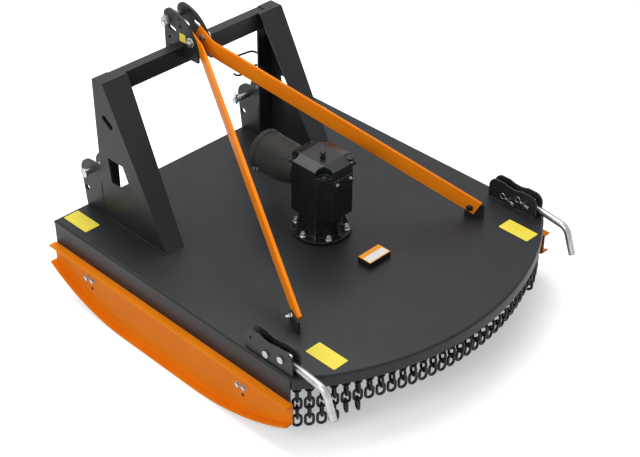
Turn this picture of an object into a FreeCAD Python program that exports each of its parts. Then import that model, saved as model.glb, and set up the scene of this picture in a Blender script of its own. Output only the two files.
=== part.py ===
"""Tractor mulcher with a three-point headstock, a vertical rotor and chain curtains.

Frame: +X is the machine's right, +Y points to the tractor, +Z is up. The origin is on the ground
under the rotor's axis. All sizes are millimetres.
"""
import FreeCAD, Part
import math
import os
import Sketcher
from FreeCAD import Placement, Rotation, Vector

# Driving sizes: one named value each, kept in the document's spreadsheet. Heights called "rise" are
# taken from the deck's top, and places called "ahead" or "back" from the piece that carries them.
SIZES = {
    # deck
    "deck_width": 1600, "deck_front": 892, "deck_rear": 909, "rear_radius": 1257,
    "deck_height": 370, "sheet": 6, "bend_depth": 15, "bend_radius": 12, "rim_depth": 40,
    "shaft_hole": 50,
    # skids
    "skid_drop": 120, "skid_width": 40, "skid_sheet": 6, "sole": 8, "nose_lead": 3, "tail_lead": 18,
    "flat_front": 392, "flat_rear": 58, "nose_radius": 918, "tail_radius": 1200, "skirt_clear": 12,
    # headstock towers and crossbar
    "offset": 89, "tower_half": 522, "tower_sheet": 8, "tower_inset": 129, "tower_height": 694,
    "top_depth": 73, "foot_depth": 434, "foot_flange": 94, "top_flange": 136, "bar_depth": 50,
    "bar_height": 85,
    "window_front": 62, "window_rear": 164, "window_low_front": 77, "window_low_rear": 220,
    "window_low": 207, "window_high": 330, "slot_front": 64, "slot_rear": 103,
    "slot_high": 530, "slot_low": 504, "slot_radius": 15,
    # lower hitch
    "cheek": 12, "foot_reach": 125, "cheek_reach": 146, "cheek_rise": 184, "cheek_round": 70,
    "cheek_slope": 6, "pin_ahead": 74, "pin_rise": 205, "pin_radius": 14, "free_ahead": 111,
    "free_rise": 95, "pin_outside": 40, "pin_inside": 90, "pin_sleeve": 18, "pin_fit": 0.5,
    "head_radius": 21, "head_length": 8,
    # top hitch
    "mast_half": 45, "mast_aside": 6, "mast_ahead": 79, "mast_low": 55, "mast_nose": 40, "mast_round": 182,
    "peak_ahead": 44, "round_drop": 32, "link_ahead": 59, "link_rise": 96, "link_radius": 12.5,
    "link_sleeve": 16, "link_end": 18, "brace_back": 96, "brace_rise": 34, "brace_bolt": 12.5,
    "float_length": 30, "float_radius": 11, "float_fall": 8, "front_float_ahead": 25,
    "front_float_rise": 59, "rear_float_back": 49, "rear_float_rise": 82, "lock_ahead": 45,
    "lock_rise": 11, "lock_radius": 8,
    # stays
    "stay_sheet": 8, "stay_depth": 70, "stay_lean": 6, "stay_end": 35,
    "stay_knee": 57, "stay_foot_x": 560, "stay_foot_ahead": 192, "stay_foot_rise": 48,
    "lug_sheet": 10, "lug_length": 90, "lug_height": 62,
    # gearbox
    "flange_radius": 135, "flange_thick": 20, "neck_radius": 98, "neck_top_radius": 95,
    "box_half": 112, "box_front": 122, "box_rear": 126, "box_low_rise": 127, "box_top_rise": 394,
    "box_slope": 52, "box_slope_drop": 15, "box_corner": 49, "screw_recess": 38, "screw_inset": 22,
    "screw_depth": 42, "pad_width": 112, "pad_height": 48, "pad_thick": 8, "pad_drop": 62, "overcut": 1,
    # input shaft and its guard
    "pto_rise": 256, "pto_radius": 17.5, "pto_front": 260, "pto_journal": 22, "pto_collar": 10,
    "bore_depth": 40, "bore_clear": 5, "fit": 0.05, "guard_front": 357, "guard_mouth": 100,
    "guard_body": 94, "guard_neck": 72, "guard_wall": 4, "guard_swell": 90,
    "guard_lip": 26, "guard_step": 3,
    # plate behind the gearbox
    "plate_length": 128, "plate_depth": 72, "plate_height": 30, "plate_back": 322,
    # rear brackets, their pins and the support bars
    "bracket_inset": 15, "bracket_gap": 34, "bracket_sheet": 8, "bracket_length": 269,
    "bracket_height": 102, "bracket_round": 42, "waist_length": 100, "waist_radius": 130,
    "pivot_ahead": 146, "pivot_rise": 34, "rest_ahead": 62, "rest_rise": 55, "free_pin_ahead": 234,
    "free_pin_rise": 63, "clevis_radius": 8, "clevis_end": 18, "bar_radius": 16, "bend_back": 156,
    "bend_rise": 17, "tip_back": 201, "tip_drop": 106, "bar_lug": 12, "lug_round": 20,
    "lug_clear": 2, "lug_above": 30, "lug_nose": 14,
    # rod hook
    "hook_radius": 5, "hook_rise": 475, "hook_low_rise": 372, "hook_reach": 96, "hook_tip": 45,
    "hook_tip_rise": 26,
    # chain curtains
    "chain_inset": 15, "chain_pitch": 49.5, "link_pitch": 44, "link_width": 40, "wire": 10,
    "top_link_drop": 10.5, "chain_back": 22, "hang_bar": 12, "hang_clear": 0.3,
    # rotor
    "rotor_shaft": 30, "hub_radius": 60, "hub_drop": 30, "carrier_z": 132, "carrier_thick": 12,
    "arm_half": 55, "blade_pin": 420, "blade_tip": 740, "blade_half": 40, "blade_thick": 10,
    "blade_gap": 6, "blade_bolt": 12, "bolt_nut": 14,
}
BLADES = 3
LINKS = 3
CORNER_LINKS = (5, 5, 5, 5, 4, 4)
LEFT, RIGHT = -1, 1
SIDES = {"left": LEFT, "right": RIGHT}

doc = FreeCAD.newDocument("mulcher")
sheet = doc.addObject("Spreadsheet::Sheet", "sizes")
for row, (alias, number) in enumerate(SIZES.items(), start=1):
    sheet.set("A%d" % row, alias)
    sheet.set("B%d" % row, str(number))
    sheet.setAlias("B%d" % row, alias)
doc.recompute()
subparts = []


def size(formula):
    """Value in mm of a formula in the sheet's aliases."""
    return float(sheet.evalExpression(formula))


def keep(thing, label):
    """Give a finished sub-part its own label and remember it for export."""
    thing.Label = label
    subparts.append(thing)
    return thing


def cell(formula):
    """A formula in bare aliases, written for use outside the sheet."""
    words = []
    for word in formula.replace("(", " ( ").replace(")", " ) ").split():
        words.append("sizes." + word if word in SIZES else word)
    return " ".join(words).replace("sqrt (", "sqrt(")


def new_body(label):
    """An empty PartDesign body that becomes the sub-part of this name."""
    body = doc.addObject("PartDesign::Body", label)
    return keep(body, label)


def shift(thing, x="0", y="0", z="0"):
    """Bind the base of a sub-part's Placement to formulas."""
    for axis, formula in zip("xyz", (x, y, z)):
        if formula != "0":
            thing.setExpression("Placement.Base." + axis, cell(formula))


def sketch_on(body, plane):
    """A sketch attached to one of the body's own origin planes."""
    sketch = body.newObject("Sketcher::SketchObject", body.Name + "_sketch")
    support = [item for item in body.Origin.OriginFeatures if item.Role == plane][0]
    sketch.AttachmentSupport = (support, [""])
    sketch.MapMode = "FlatFace"
    return sketch


def fix(sketch, kind, places, formula):
    """Add one driving dimension and bind it to a formula."""
    index = sketch.addConstraint(Sketcher.Constraint(kind, *places, size(formula)))
    sketch.setExpression("Constraints[%d]" % index, cell(formula))


def corner(formulas):
    """The point that a pair of formulas gives."""
    return Vector(size(formulas[0]), size(formulas[1]), 0)


def outline(sketch, points, arcs=()):
    """Closed outline through the points; arcs maps a side to its (centre, radius) formulas.

    A side runs from its point to the next one. Each point is dimensioned from the origin, and each
    round side also by its radius.
    """
    arcs = dict(arcs)
    count = len(points)
    first = sketch.GeometryCount
    ends = [corner(point) for point in points]
    for number, start in enumerate(ends):
        end = ends[(number + 1) % count]
        if number in arcs:
            centre, radius, bulge = arcs[number]
            middle = corner(centre)
            reach = size(radius)
            towards = (start + end) / 2 - middle
            towards.normalize()
            top = middle + towards * (reach * bulge)
            sketch.addGeometry(Part.Arc(start, top, end), False)
        else:
            sketch.addGeometry(Part.LineSegment(start, end), False)
    for number in range(count):
        here, after = first + number, first + (number + 1) % count
        leaving = arc_end(sketch, here, ends[(number + 1) % count])
        arriving = arc_end(sketch, after, ends[(number + 1) % count])
        sketch.addConstraint(Sketcher.Constraint("Coincident", here, leaving, after, arriving))
        point = points[(number + 1) % count]
        fix(sketch, "DistanceX", (-1, 1, after, arriving), point[0])
        fix(sketch, "DistanceY", (-1, 1, after, arriving), point[1])
    for number, (centre, radius, bulge) in arcs.items():
        fix(sketch, "Radius", (first + number,), radius)


def arc_end(sketch, index, point):
    """Which end (1 or 2) of an outline's side lies at the point."""
    for end in (1, 2):
        if sketch.getPoint(index, end).distanceToPoint(point) < 1e-4:
            return end
    raise ValueError("side %d has no end there" % index)


def ring(sketch, x, y, radius):
    """A circle dimensioned from the origin."""
    circle = Part.Circle(Vector(size(x), size(y), 0), Vector(0, 0, 1), size(radius))
    index = sketch.addGeometry(circle, False)
    fix(sketch, "DistanceX", (-1, 1, index, 3), x)
    fix(sketch, "DistanceY", (-1, 1, index, 3), y)
    fix(sketch, "Radius", (index,), radius)


def pad(body, sketch, length, reverse=False):
    """Extrude a sketch by a formula's length."""
    feature = body.newObject("PartDesign::Pad", body.Name + "_pad")
    feature.Profile = sketch
    feature.Length = size(length)
    feature.setExpression("Length", cell(length))
    feature.Reversed = reverse
    body.Tip = feature
    doc.recompute()
    return feature


def pocket_through(body, sketch):
    """Cut a sketch through the whole body, both ways, and make sure that it cuts."""
    before = body.Shape.Volume
    feature = body.newObject("PartDesign::Pocket", body.Name + "_pocket")
    feature.Profile = sketch
    feature.Type = "ThroughAll"
    feature.Midplane = True
    body.Tip = feature
    doc.recompute()
    if body.Shape.Volume >= before:
        raise ValueError(body.Name + ": the pocket cuts nothing")
    return feature


def plate(label, plane, points, thick, arcs=(), holes=(), reverse=False):
    """A flat plate: an outline and round holes, extruded from a plane."""
    body = new_body(label)
    sketch = sketch_on(body, plane)
    outline(sketch, points, arcs)
    for x, y, radius in holes:
        ring(sketch, x, y, radius)
    pad(body, sketch, thick, reverse)
    return body


def rod(label, radius, start, end):
    """A straight round bar between two points, as a Part cylinder."""
    bar = doc.addObject("Part::Cylinder", label)
    way = Vector(*end) - Vector(*start)
    bar.setExpression("Radius", cell(radius))
    bar.Height = way.Length
    bar.Placement = Placement(Vector(*start), Rotation(Vector(0, 0, 1), way))
    return bar


def fuse(label, pieces):
    """Join pieces of one sub-part into one solid."""
    joined = doc.addObject("Part::MultiFuse", label)
    joined.Shapes = pieces
    joined.Refine = True
    return keep(joined, label)


# Formulas that several sub-parts share.
HALF = "deck_width / 2"
REAR_CENTRE = "( rear_radius - deck_rear )"
CORNER_Y = "( rear_radius - deck_rear - sqrt( rear_radius ^ 2 - ( deck_width / 2 ) ^ 2 ) )"
BEND_LOW = "( deck_height - bend_depth )"
RIM_LOW = "( deck_height - bend_depth - rim_depth )"
TOWER_Y = "( deck_front - tower_inset )"
TOWER_TOP = "( deck_height + tower_height )"
BAR_LOW = "( deck_height + tower_height - bar_height )"
MAST_X = "( - offset - mast_aside )"
SKID_FRONT = "( deck_front + nose_lead )"
SKID_REAR = "( " + CORNER_Y + " - tail_lead )"
SKID_TOP = "( deck_height - skid_drop )"
BOX_LOW = "( deck_height + box_low_rise )"
BOX_TOP = "( deck_height + box_top_rise )"
PTO_Z = "( deck_height + pto_rise )"
BRACKET_X = "( deck_width / 2 - bracket_inset )"


def signed(side, formula):
    """The same distance on the left or the right of the middle."""
    return "- ( " + formula + " )" if side == LEFT else formula


def at(x, y, z):
    """The point that three formulas give."""
    return Vector(size(x), size(y), size(z))


def deck_outline(inset):
    """Deck outline in XY, inset by a formula, as points and its round rear side."""
    half = "( deck_width / 2 - " + inset + " )"
    radius = "( rear_radius - " + inset + " )"
    rear = REAR_CENTRE + " - sqrt( " + radius + " ^ 2 - " + half + " ^ 2 )"
    front = "deck_front - " + inset
    points = [("- " + half, front), (half, front), (half, rear), ("- " + half, rear)]
    return points, {2: (("0", REAR_CENTRE), radius, 1)}


def is_rim(edge, height):
    """True for an edge that lies flat at this height."""
    box = edge.BoundBox
    return abs(box.ZMin - height) < 0.01 and abs(box.ZMax - height) < 0.01


def make_deck():
    """Deck plate with its folded edge: a shallow tray turned upside down."""
    body = new_body("deck_top")
    shift(body, z=BEND_LOW)
    sketch = sketch_on(body, "XY_Plane")
    points, arcs = deck_outline("0")
    outline(sketch, points, arcs)
    slab = pad(body, sketch, "bend_depth")
    top = [edge for edge in range(1, len(body.Shape.Edges) + 1)
           if is_rim(body.Shape.Edges[edge - 1], size("deck_height"))]
    fillet = body.newObject("PartDesign::Fillet", "deck_top_bend")
    fillet.Base = (slab, ["Edge%d" % edge for edge in top])
    fillet.Radius = size("bend_radius")
    fillet.setExpression("Radius", cell("bend_radius"))
    body.Tip = fillet
    doc.recompute()
    inside = sketch_on(body, "XY_Plane")
    points, arcs = deck_outline("sheet")
    outline(inside, points, arcs)
    hollow = body.newObject("PartDesign::Pocket", "deck_top_hollow")
    hollow.Profile = inside
    hollow.Length = size("bend_depth - sheet")
    hollow.setExpression("Length", cell("bend_depth - sheet"))
    hollow.Reversed = True
    before = body.Shape.Volume
    body.Tip = hollow
    doc.recompute()
    if body.Shape.Volume >= before:
        raise ValueError("the deck's hollow cuts nothing")
    bore = sketch_on(body, "XY_Plane")
    ring(bore, "0", "0", "shaft_hole")
    pocket_through(body, bore)


def rear_strip(label, inner, outer, half, thick):
    """A curved strip along the deck's rear edge, between two distances inside that edge."""
    near = "( rear_radius - " + outer + " )"
    far = "( rear_radius - " + inner + " )"
    near_y = REAR_CENTRE + " - sqrt( " + near + " ^ 2 - " + half + " ^ 2 )"
    far_y = REAR_CENTRE + " - sqrt( " + far + " ^ 2 - " + half + " ^ 2 )"
    points = [("- " + half, far_y), (half, far_y), (half, near_y), ("- " + half, near_y)]
    centre = ("0", REAR_CENTRE)
    return plate(label, "XY_Plane", points, thick, {0: (centre, far, 1), 2: (centre, near, 1)})


def make_rims():
    """Folded strips under the deck's front and rear edges."""
    half = "( deck_width / 2 - sheet )"
    points = [("- " + half, "deck_front - sheet"), (half, "deck_front - sheet"),
              (half, "deck_front"), ("- " + half, "deck_front")]
    front = plate("front_rim", "XY_Plane", points, "rim_depth")
    shift(front, z=RIM_LOW)
    rear = rear_strip("rear_rim", "0", "sheet", half, "rim_depth")
    shift(rear, z=RIM_LOW)


def runner_height(end, lift="0"):
    """Height of the sole's curve, lifted by a formula, at the front or the rear end."""
    reach, radius = "( " + SKID_FRONT + " - flat_front )", "nose_radius"
    if end == "rear":
        reach, radius = "( - flat_rear - " + SKID_REAR + " )", "tail_radius"
    return "%s - sqrt( ( %s - ( %s ) ) ^ 2 - %s ^ 2 )" % (radius, radius, lift, reach)


def runner_arcs(front_side, rear_side, lift="0"):
    """The sole's two round ends, lifted by a formula."""
    return {front_side: (("flat_front", "nose_radius"), "nose_radius - ( " + lift + " )", 1),
            rear_side: (("- flat_rear", "tail_radius"), "tail_radius - ( " + lift + " )", 1)}


def make_side(name, side):
    """Side skirt of the deck and the curved skid bolted to its outside."""
    reverse = side == LEFT
    skirt_front = SKID_FRONT + " - nose_lead - sheet"
    points = [(skirt_front, runner_height("front", "skirt_clear")), ("flat_front", "skirt_clear"),
              ("- flat_rear", "skirt_clear"), (CORNER_Y, runner_height("rear", "skirt_clear")),
              (CORNER_Y, BEND_LOW), (skirt_front, BEND_LOW)]
    skirt = plate("side_skirt_" + name, "YZ_Plane", points, "sheet", reverse=reverse)
    shift(skirt, x=signed(side, HALF + " - sheet"))
    skid = new_body("skid_" + name)
    web = sketch_on(skid, "YZ_Plane")
    ends = [(SKID_FRONT, runner_height("front")), ("flat_front", "0"), ("- flat_rear", "0"),
            (SKID_REAR, runner_height("rear"))]
    outline(web, ends + [(SKID_REAR, SKID_TOP), (SKID_FRONT, SKID_TOP)], runner_arcs(0, 2))
    pad(skid, web, "skid_sheet", reverse)
    edges = sketch_on(skid, "YZ_Plane")
    upper = [(SKID_REAR, runner_height("rear", "sole")), ("- flat_rear", "sole"),
             ("flat_front", "sole"), (SKID_FRONT, runner_height("front", "sole"))]
    outline(edges, ends + upper, {**runner_arcs(0, 2), **runner_arcs(6, 4, "sole")})
    flange_low = SKID_TOP + " - skid_sheet"
    outline(edges, [(SKID_FRONT, flange_low), (SKID_FRONT, SKID_TOP),
                    (SKID_REAR, SKID_TOP), (SKID_REAR, flange_low)])
    pad(skid, edges, "skid_width", reverse)
    shift(skid, x=signed(side, HALF))


def slot(sketch, front, rear, radius):
    """A round-ended slot between two centres, each a pair of formulas."""
    start, end = corner(front), corner(rear)
    reach = size(radius)
    along = (end - start).normalize()
    aside = Vector(-along.y, along.x, 0) * reach
    sides = [Part.LineSegment(start + aside, end + aside),
             Part.Arc(end + aside, end + along * reach, end - aside),
             Part.LineSegment(end - aside, start - aside),
             Part.Arc(start - aside, start - along * reach, start + aside)]
    first = sketch.GeometryCount
    for side in sides:
        sketch.addGeometry(side, False)
    for number, side in enumerate(sides):
        joint = (side.EndPoint if number % 2 == 0 else sides[(number + 1) % 4].StartPoint)
        here, after = first + number, first + (number + 1) % 4
        sketch.addConstraint(Sketcher.Constraint(
            "Tangent", here, arc_end(sketch, here, joint), after, arc_end(sketch, after, joint)))
    for index, centre in ((first + 3, front), (first + 1, rear)):
        fix(sketch, "DistanceX", (-1, 1, index, 3), centre[0])
        fix(sketch, "DistanceY", (-1, 1, index, 3), centre[1])
    fix(sketch, "Radius", (first + 1,), radius)


def make_tower(name, side):
    """Tower of the headstock: a bent channel with two windows, open towards the middle."""
    reverse = side == RIGHT
    tower = new_body("tower_" + name)
    top_rear = TOWER_Y + " - top_depth"
    foot_rear = TOWER_Y + " - foot_depth"
    web = sketch_on(tower, "YZ_Plane")
    outline(web, [(TOWER_Y, "deck_height"), (TOWER_Y, TOWER_TOP), (top_rear, TOWER_TOP),
                  (foot_rear, "deck_height")])
    pad(tower, web, "tower_sheet", reverse)
    front = sketch_on(tower, "YZ_Plane")
    behind = TOWER_Y + " - tower_sheet"
    outline(front, [(TOWER_Y, "deck_height"), (TOWER_Y, BAR_LOW), (behind, BAR_LOW),
                    (behind, "deck_height")])
    pad(tower, front, "foot_flange", reverse)
    rear = sketch_on(tower, "YZ_Plane")
    outline(rear, [(top_rear, TOWER_TOP), (foot_rear, "deck_height"),
                   (foot_rear + " + tower_sheet", "deck_height"),
                   (top_rear + " + tower_sheet", TOWER_TOP)])
    pad(tower, rear, "top_flange", reverse)
    inward = RIGHT if side == LEFT else LEFT
    taper = sketch_on(tower, "XZ_Plane")
    outline(taper, [(signed(inward, "foot_flange"), "deck_height"),
                    (signed(inward, "top_flange"), TOWER_TOP),
                    (signed(inward, "top_flange + cheek"), TOWER_TOP),
                    (signed(inward, "top_flange + cheek"), "deck_height")])
    pocket_through(tower, taper)
    windows = sketch_on(tower, "YZ_Plane")
    outline(windows, [(TOWER_Y + " - window_front", "deck_height + window_high"),
                      (TOWER_Y + " - window_rear", "deck_height + window_high"),
                      (TOWER_Y + " - window_low_rear", "deck_height + window_low"),
                      (TOWER_Y + " - window_low_front", "deck_height + window_low")])
    slot(windows, (TOWER_Y + " - slot_front", "deck_height + slot_high"),
         (TOWER_Y + " - slot_rear", "deck_height + slot_low"), "slot_radius")
    pocket_through(tower, windows)
    shift(tower, x="- offset " + ("- tower_half" if side == LEFT else "+ tower_half"))


def make_crossbar():
    """Tube across the tops of both towers."""
    bar = doc.addObject("Part::Box", "crossbar")
    bar.setExpression("Length", cell("2 * ( tower_half - tower_sheet )"))
    bar.setExpression("Width", cell("bar_depth"))
    bar.setExpression("Height", cell("bar_height"))
    shift(bar, "- offset - tower_half + tower_sheet", TOWER_Y + " - bar_depth", BAR_LOW)
    keep(bar, "crossbar")


def make_lower_hitch(name, side):
    """Two cheeks in front of a tower, with a long draft pin through both."""
    points = [(TOWER_Y, "deck_height"), (TOWER_Y + " + foot_reach", "deck_height"),
              (TOWER_Y + " + cheek_reach", "deck_height + cheek_rise"),
              (TOWER_Y + " + cheek_reach - cheek_round", "deck_height + cheek_rise + cheek_round"),
              (TOWER_Y, "deck_height + cheek_rise + cheek_round + cheek_slope")]
    arcs = {2: ((TOWER_Y + " + cheek_reach - cheek_round", "deck_height + cheek_rise"),
                "cheek_round", 1)}
    holes = [(TOWER_Y + " + pin_ahead", "deck_height + pin_rise", "pin_radius + pin_fit"),
             (TOWER_Y + " + free_ahead", "deck_height + free_rise", "pin_radius + pin_fit")]
    centre = "- offset " + ("- " if side == LEFT else "+ ")
    for place, edge in (("outer", "tower_half"), ("inner", "( tower_half - foot_flange + cheek )")):
        cheek = plate("lower_cheek_%s_%s" % (place, name), "YZ_Plane", points, "cheek",
                      arcs, holes, reverse=side == RIGHT)
        shift(cheek, x=centre + edge)

    def spot(edge):
        return at(centre + "( " + edge + " )", holes[0][0], holes[0][1])

    outer, inner = "tower_half", "tower_half - foot_flange"
    shank = rod("pin_shank_" + name, "pin_radius", spot(outer + " + pin_outside"),
                spot(inner + " - pin_inside"))
    head = rod("pin_head_" + name, "head_radius", spot(outer + " + pin_outside"),
               spot(outer + " + pin_outside - head_length"))
    sleeve = rod("pin_sleeve_" + name, "pin_sleeve", spot(outer + " - cheek"),
                 spot(inner + " + cheek"))
    fuse("lower_pin_" + name, [shank, head, sleeve])


def make_top_hitch():
    """Mast cheeks over the crossbar and the top link's pin."""
    peak_y = TOWER_Y + " + peak_ahead"
    round_z = TOWER_TOP + " - round_drop"
    front_y = TOWER_Y + " + mast_ahead"
    nose_y = front_y + " - mast_nose"
    low_z = TOWER_TOP + " - mast_low"
    nose_z = TOWER_TOP + " - round_drop + mast_round - mast_nose"
    points = [(front_y, low_z), (front_y, nose_z), (peak_y, TOWER_TOP + " - round_drop + mast_round"),
              (TOWER_Y + " + peak_ahead - mast_round", round_z),
              (TOWER_Y + " + peak_ahead - mast_round", low_z),
              (TOWER_Y + " - bar_depth", low_z), (TOWER_Y + " - bar_depth", TOWER_TOP),
              (TOWER_Y, TOWER_TOP), (TOWER_Y, low_z)]
    arcs = {1: ((nose_y, nose_z), "mast_nose", 1), 2: ((peak_y, round_z), "mast_round", 1)}
    for name, side in SIDES.items():
        cheek = new_body("top_cheek_" + name)
        sketch = sketch_on(cheek, "YZ_Plane")
        outline(sketch, points, arcs)
        ring(sketch, TOWER_Y + " + link_ahead", TOWER_TOP + " + link_rise", "link_radius + pin_fit")
        ring(sketch, TOWER_Y + " - brace_back", TOWER_TOP + " + brace_rise", "brace_bolt")
        ring(sketch, TOWER_Y + " + lock_ahead", TOWER_TOP + " + lock_rise", "lock_radius")
        for y, z in (("+ front_float_ahead", "+ front_float_rise"),
                     ("- rear_float_back", "+ rear_float_rise")):
            middle_y, middle_z = TOWER_Y + " " + y, TOWER_TOP + " " + z
            slot(sketch, (middle_y + " + float_length / 2", middle_z + " + float_fall / 2"),
                 (middle_y + " - float_length / 2", middle_z + " - float_fall / 2"),
                 "float_radius")
        pad(cheek, sketch, "cheek", reverse=side == RIGHT)
        shift(cheek, x=MAST_X + (" - mast_half" if side == LEFT else " + mast_half"))

    def spot(aside):
        return at(MAST_X + " + " + aside, TOWER_Y + " + link_ahead", TOWER_TOP + " + link_rise")

    pin = rod("top_pin_shank", "link_radius", spot("- mast_half"), spot("mast_half + link_end"))
    head = rod("top_pin_head", "head_radius", spot("( - mast_half - head_length )"),
               spot("( - mast_half )"))
    sleeve = rod("top_pin_sleeve", "link_sleeve", spot("( - mast_half + cheek )"),
                 spot("( mast_half - cheek )"))
    fuse("top_pin", [pin, head, sleeve])


def flat_bar(label, start, end, width, height, aside=0.0, lean=0.0):
    """A flat bar on edge along a line, as a Part box; it may stand aside or lean over, in degrees."""
    along = (end - start).normalize()
    across = Vector(0, 0, 1).cross(along).normalize()
    upward = along.cross(across)
    tilt = Rotation(along, lean)
    across, upward = tilt.multVec(across), tilt.multVec(upward)
    bar = doc.addObject("Part::Box", label)
    bar.Length = (end - start).Length
    bar.setExpression("Width", cell(width))
    bar.setExpression("Height", cell(height))
    base = start + across * (aside - size(width) / 2) - upward * (size(height) / 2)
    bar.Placement = Placement(base, Rotation(along, across, upward, "XZY"))
    return bar


def make_stay(name, side):
    """Brace from a mast cheek to a lug near the rear of the deck: a flat bar on edge, bent once."""
    bolt = at(signed(side, "mast_half - cheek - stay_sheet / 2") + " + " + MAST_X,
              TOWER_Y + " - brace_back", TOWER_TOP + " + brace_rise")
    foot = at(signed(side, "stay_foot_x"), CORNER_Y + " + stay_foot_ahead",
              "deck_height + stay_foot_rise")
    straight = Vector(0, bolt.y - foot.y, bolt.z - foot.z) / (bolt.y - foot.y)
    tip = bolt + straight * size("stay_end")
    knee = bolt - straight * size("stay_knee")
    end = flat_bar("stay_end_" + name, tip, knee, "stay_sheet", "stay_depth")
    lean = size("stay_lean")
    web = flat_bar("stay_web_" + name, knee, foot, "stay_sheet", "stay_depth", lean=side * lean)
    fuse("stay_" + name, [end, web])
    level = Vector(foot.x - knee.x, foot.y - knee.y, 0).normalize()
    low = Vector(foot.x, foot.y, size("deck_height + lug_height / 2"))
    splay = size("stay_depth / 2") * math.sin(math.radians(lean))
    lug = flat_bar("stay_lug_" + name, low - level * size("lug_length * 2 / 3"),
                   low + level * size("lug_length / 3"), "lug_sheet", "lug_height",
                   side * (size("( stay_sheet + lug_sheet ) / 2") + splay))
    keep(lug, "stay_lug_" + name)


def make_gearbox():
    """Gearbox: flange on the deck, neck and sloped box, with bores for both shafts."""
    flange = doc.addObject("Part::Cylinder", "flange_disc")
    flange.setExpression("Radius", cell("flange_radius"))
    flange.setExpression("Height", cell("flange_thick"))
    shift(flange, z="deck_height")
    neck = doc.addObject("Part::Cone", "gearbox_neck")
    neck.setExpression("Radius1", cell("neck_radius"))
    neck.setExpression("Radius2", cell("neck_top_radius"))
    neck.setExpression("Height", cell("box_low_rise - flange_thick"))
    shift(neck, z="deck_height + flange_thick")
    housing_block = make_housing_block()
    pad_block = doc.addObject("Part::Box", "gearbox_pad")
    pad_block.setExpression("Length", cell("pad_width"))
    pad_block.setExpression("Width", cell("pad_thick"))
    pad_block.setExpression("Height", cell("pad_height"))
    shift(pad_block, "- pad_width / 2", "- box_rear - pad_thick", BOX_TOP + " - pad_drop - pad_height")
    solid = doc.addObject("Part::MultiFuse", "gearbox_solid")
    solid.Shapes = [flange, neck, housing_block, pad_block]
    cuts = [rod("gearbox_pto_bore", "pto_journal + fit", at("0", "box_front - bore_depth", PTO_Z),
                at("0", "box_front + overcut", PTO_Z)),
            rod("gearbox_rotor_bore", "rotor_shaft + fit", at("0", "0", "deck_height - overcut"),
                at("0", "0", "deck_height + bore_depth"))]
    for number, x in enumerate(("- box_half + screw_inset", "box_half - screw_inset")):
        for y in ("- box_rear + screw_inset", "box_front - screw_inset"):
            cuts.append(rod("screw_recess_%d_%s" % (number, y[0]), "screw_recess",
                            at(x, y, BOX_TOP + " - screw_depth"), at(x, y, BOX_TOP + " + overcut")))
    tools = doc.addObject("Part::MultiFuse", "gearbox_cuts")
    tools.Shapes = cuts
    housing = doc.addObject("Part::Cut", "gearbox")
    housing.Base = solid
    housing.Tool = tools
    keep(housing, "gearbox")


def make_housing_block():
    """Upper part of the gearbox: a block with cut corners under a shallow hipped top."""
    left, right, rear, front = "- box_half", "box_half", "- box_rear", "box_front"
    plan = plate("gearbox_plan", "XY_Plane",
                 [(left, rear + " + box_corner"), (left + " + box_corner", rear),
                  (right + " - box_corner", rear), (right, rear + " + box_corner"),
                  (right, front + " - box_corner"), (right + " - box_corner", front),
                  (left + " + box_corner", front), (left, front + " - box_corner")],
                 "box_top_rise - box_low_rise")
    subparts.remove(plan)
    shift(plan, z=BOX_LOW)
    block = doc.addObject("Part::Box", "gearbox_block")
    block.setExpression("Length", cell("2 * box_half"))
    block.setExpression("Width", cell("box_front + box_rear"))
    block.setExpression("Height", cell("box_top_rise - box_low_rise - box_slope_drop"))
    shift(block, left, rear, BOX_LOW)
    roof = doc.addObject("Part::Wedge", "gearbox_roof")
    roof.Placement.Rotation = Rotation(Vector(1, 0, 0), 90)
    shift(roof, z=BOX_TOP + " - box_slope_drop")
    for name, formula in (("Xmin", left), ("Xmax", right), ("Ymin", "0"), ("Ymax", "box_slope_drop"),
                          ("Zmin", "- box_front"), ("Zmax", "box_rear"),
                          ("X2min", left + " + box_slope"), ("X2max", right + " - box_slope"),
                          ("Z2min", "- box_front + box_slope"), ("Z2max", "box_rear - box_slope")):
        roof.setExpression(name, cell(formula))
    hipped = doc.addObject("Part::MultiFuse", "gearbox_hipped")
    hipped.Shapes = [block, roof]
    cornered = doc.addObject("Part::MultiCommon", "gearbox_cornered")
    cornered.Shapes = [hipped, plan]
    return cornered


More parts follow.
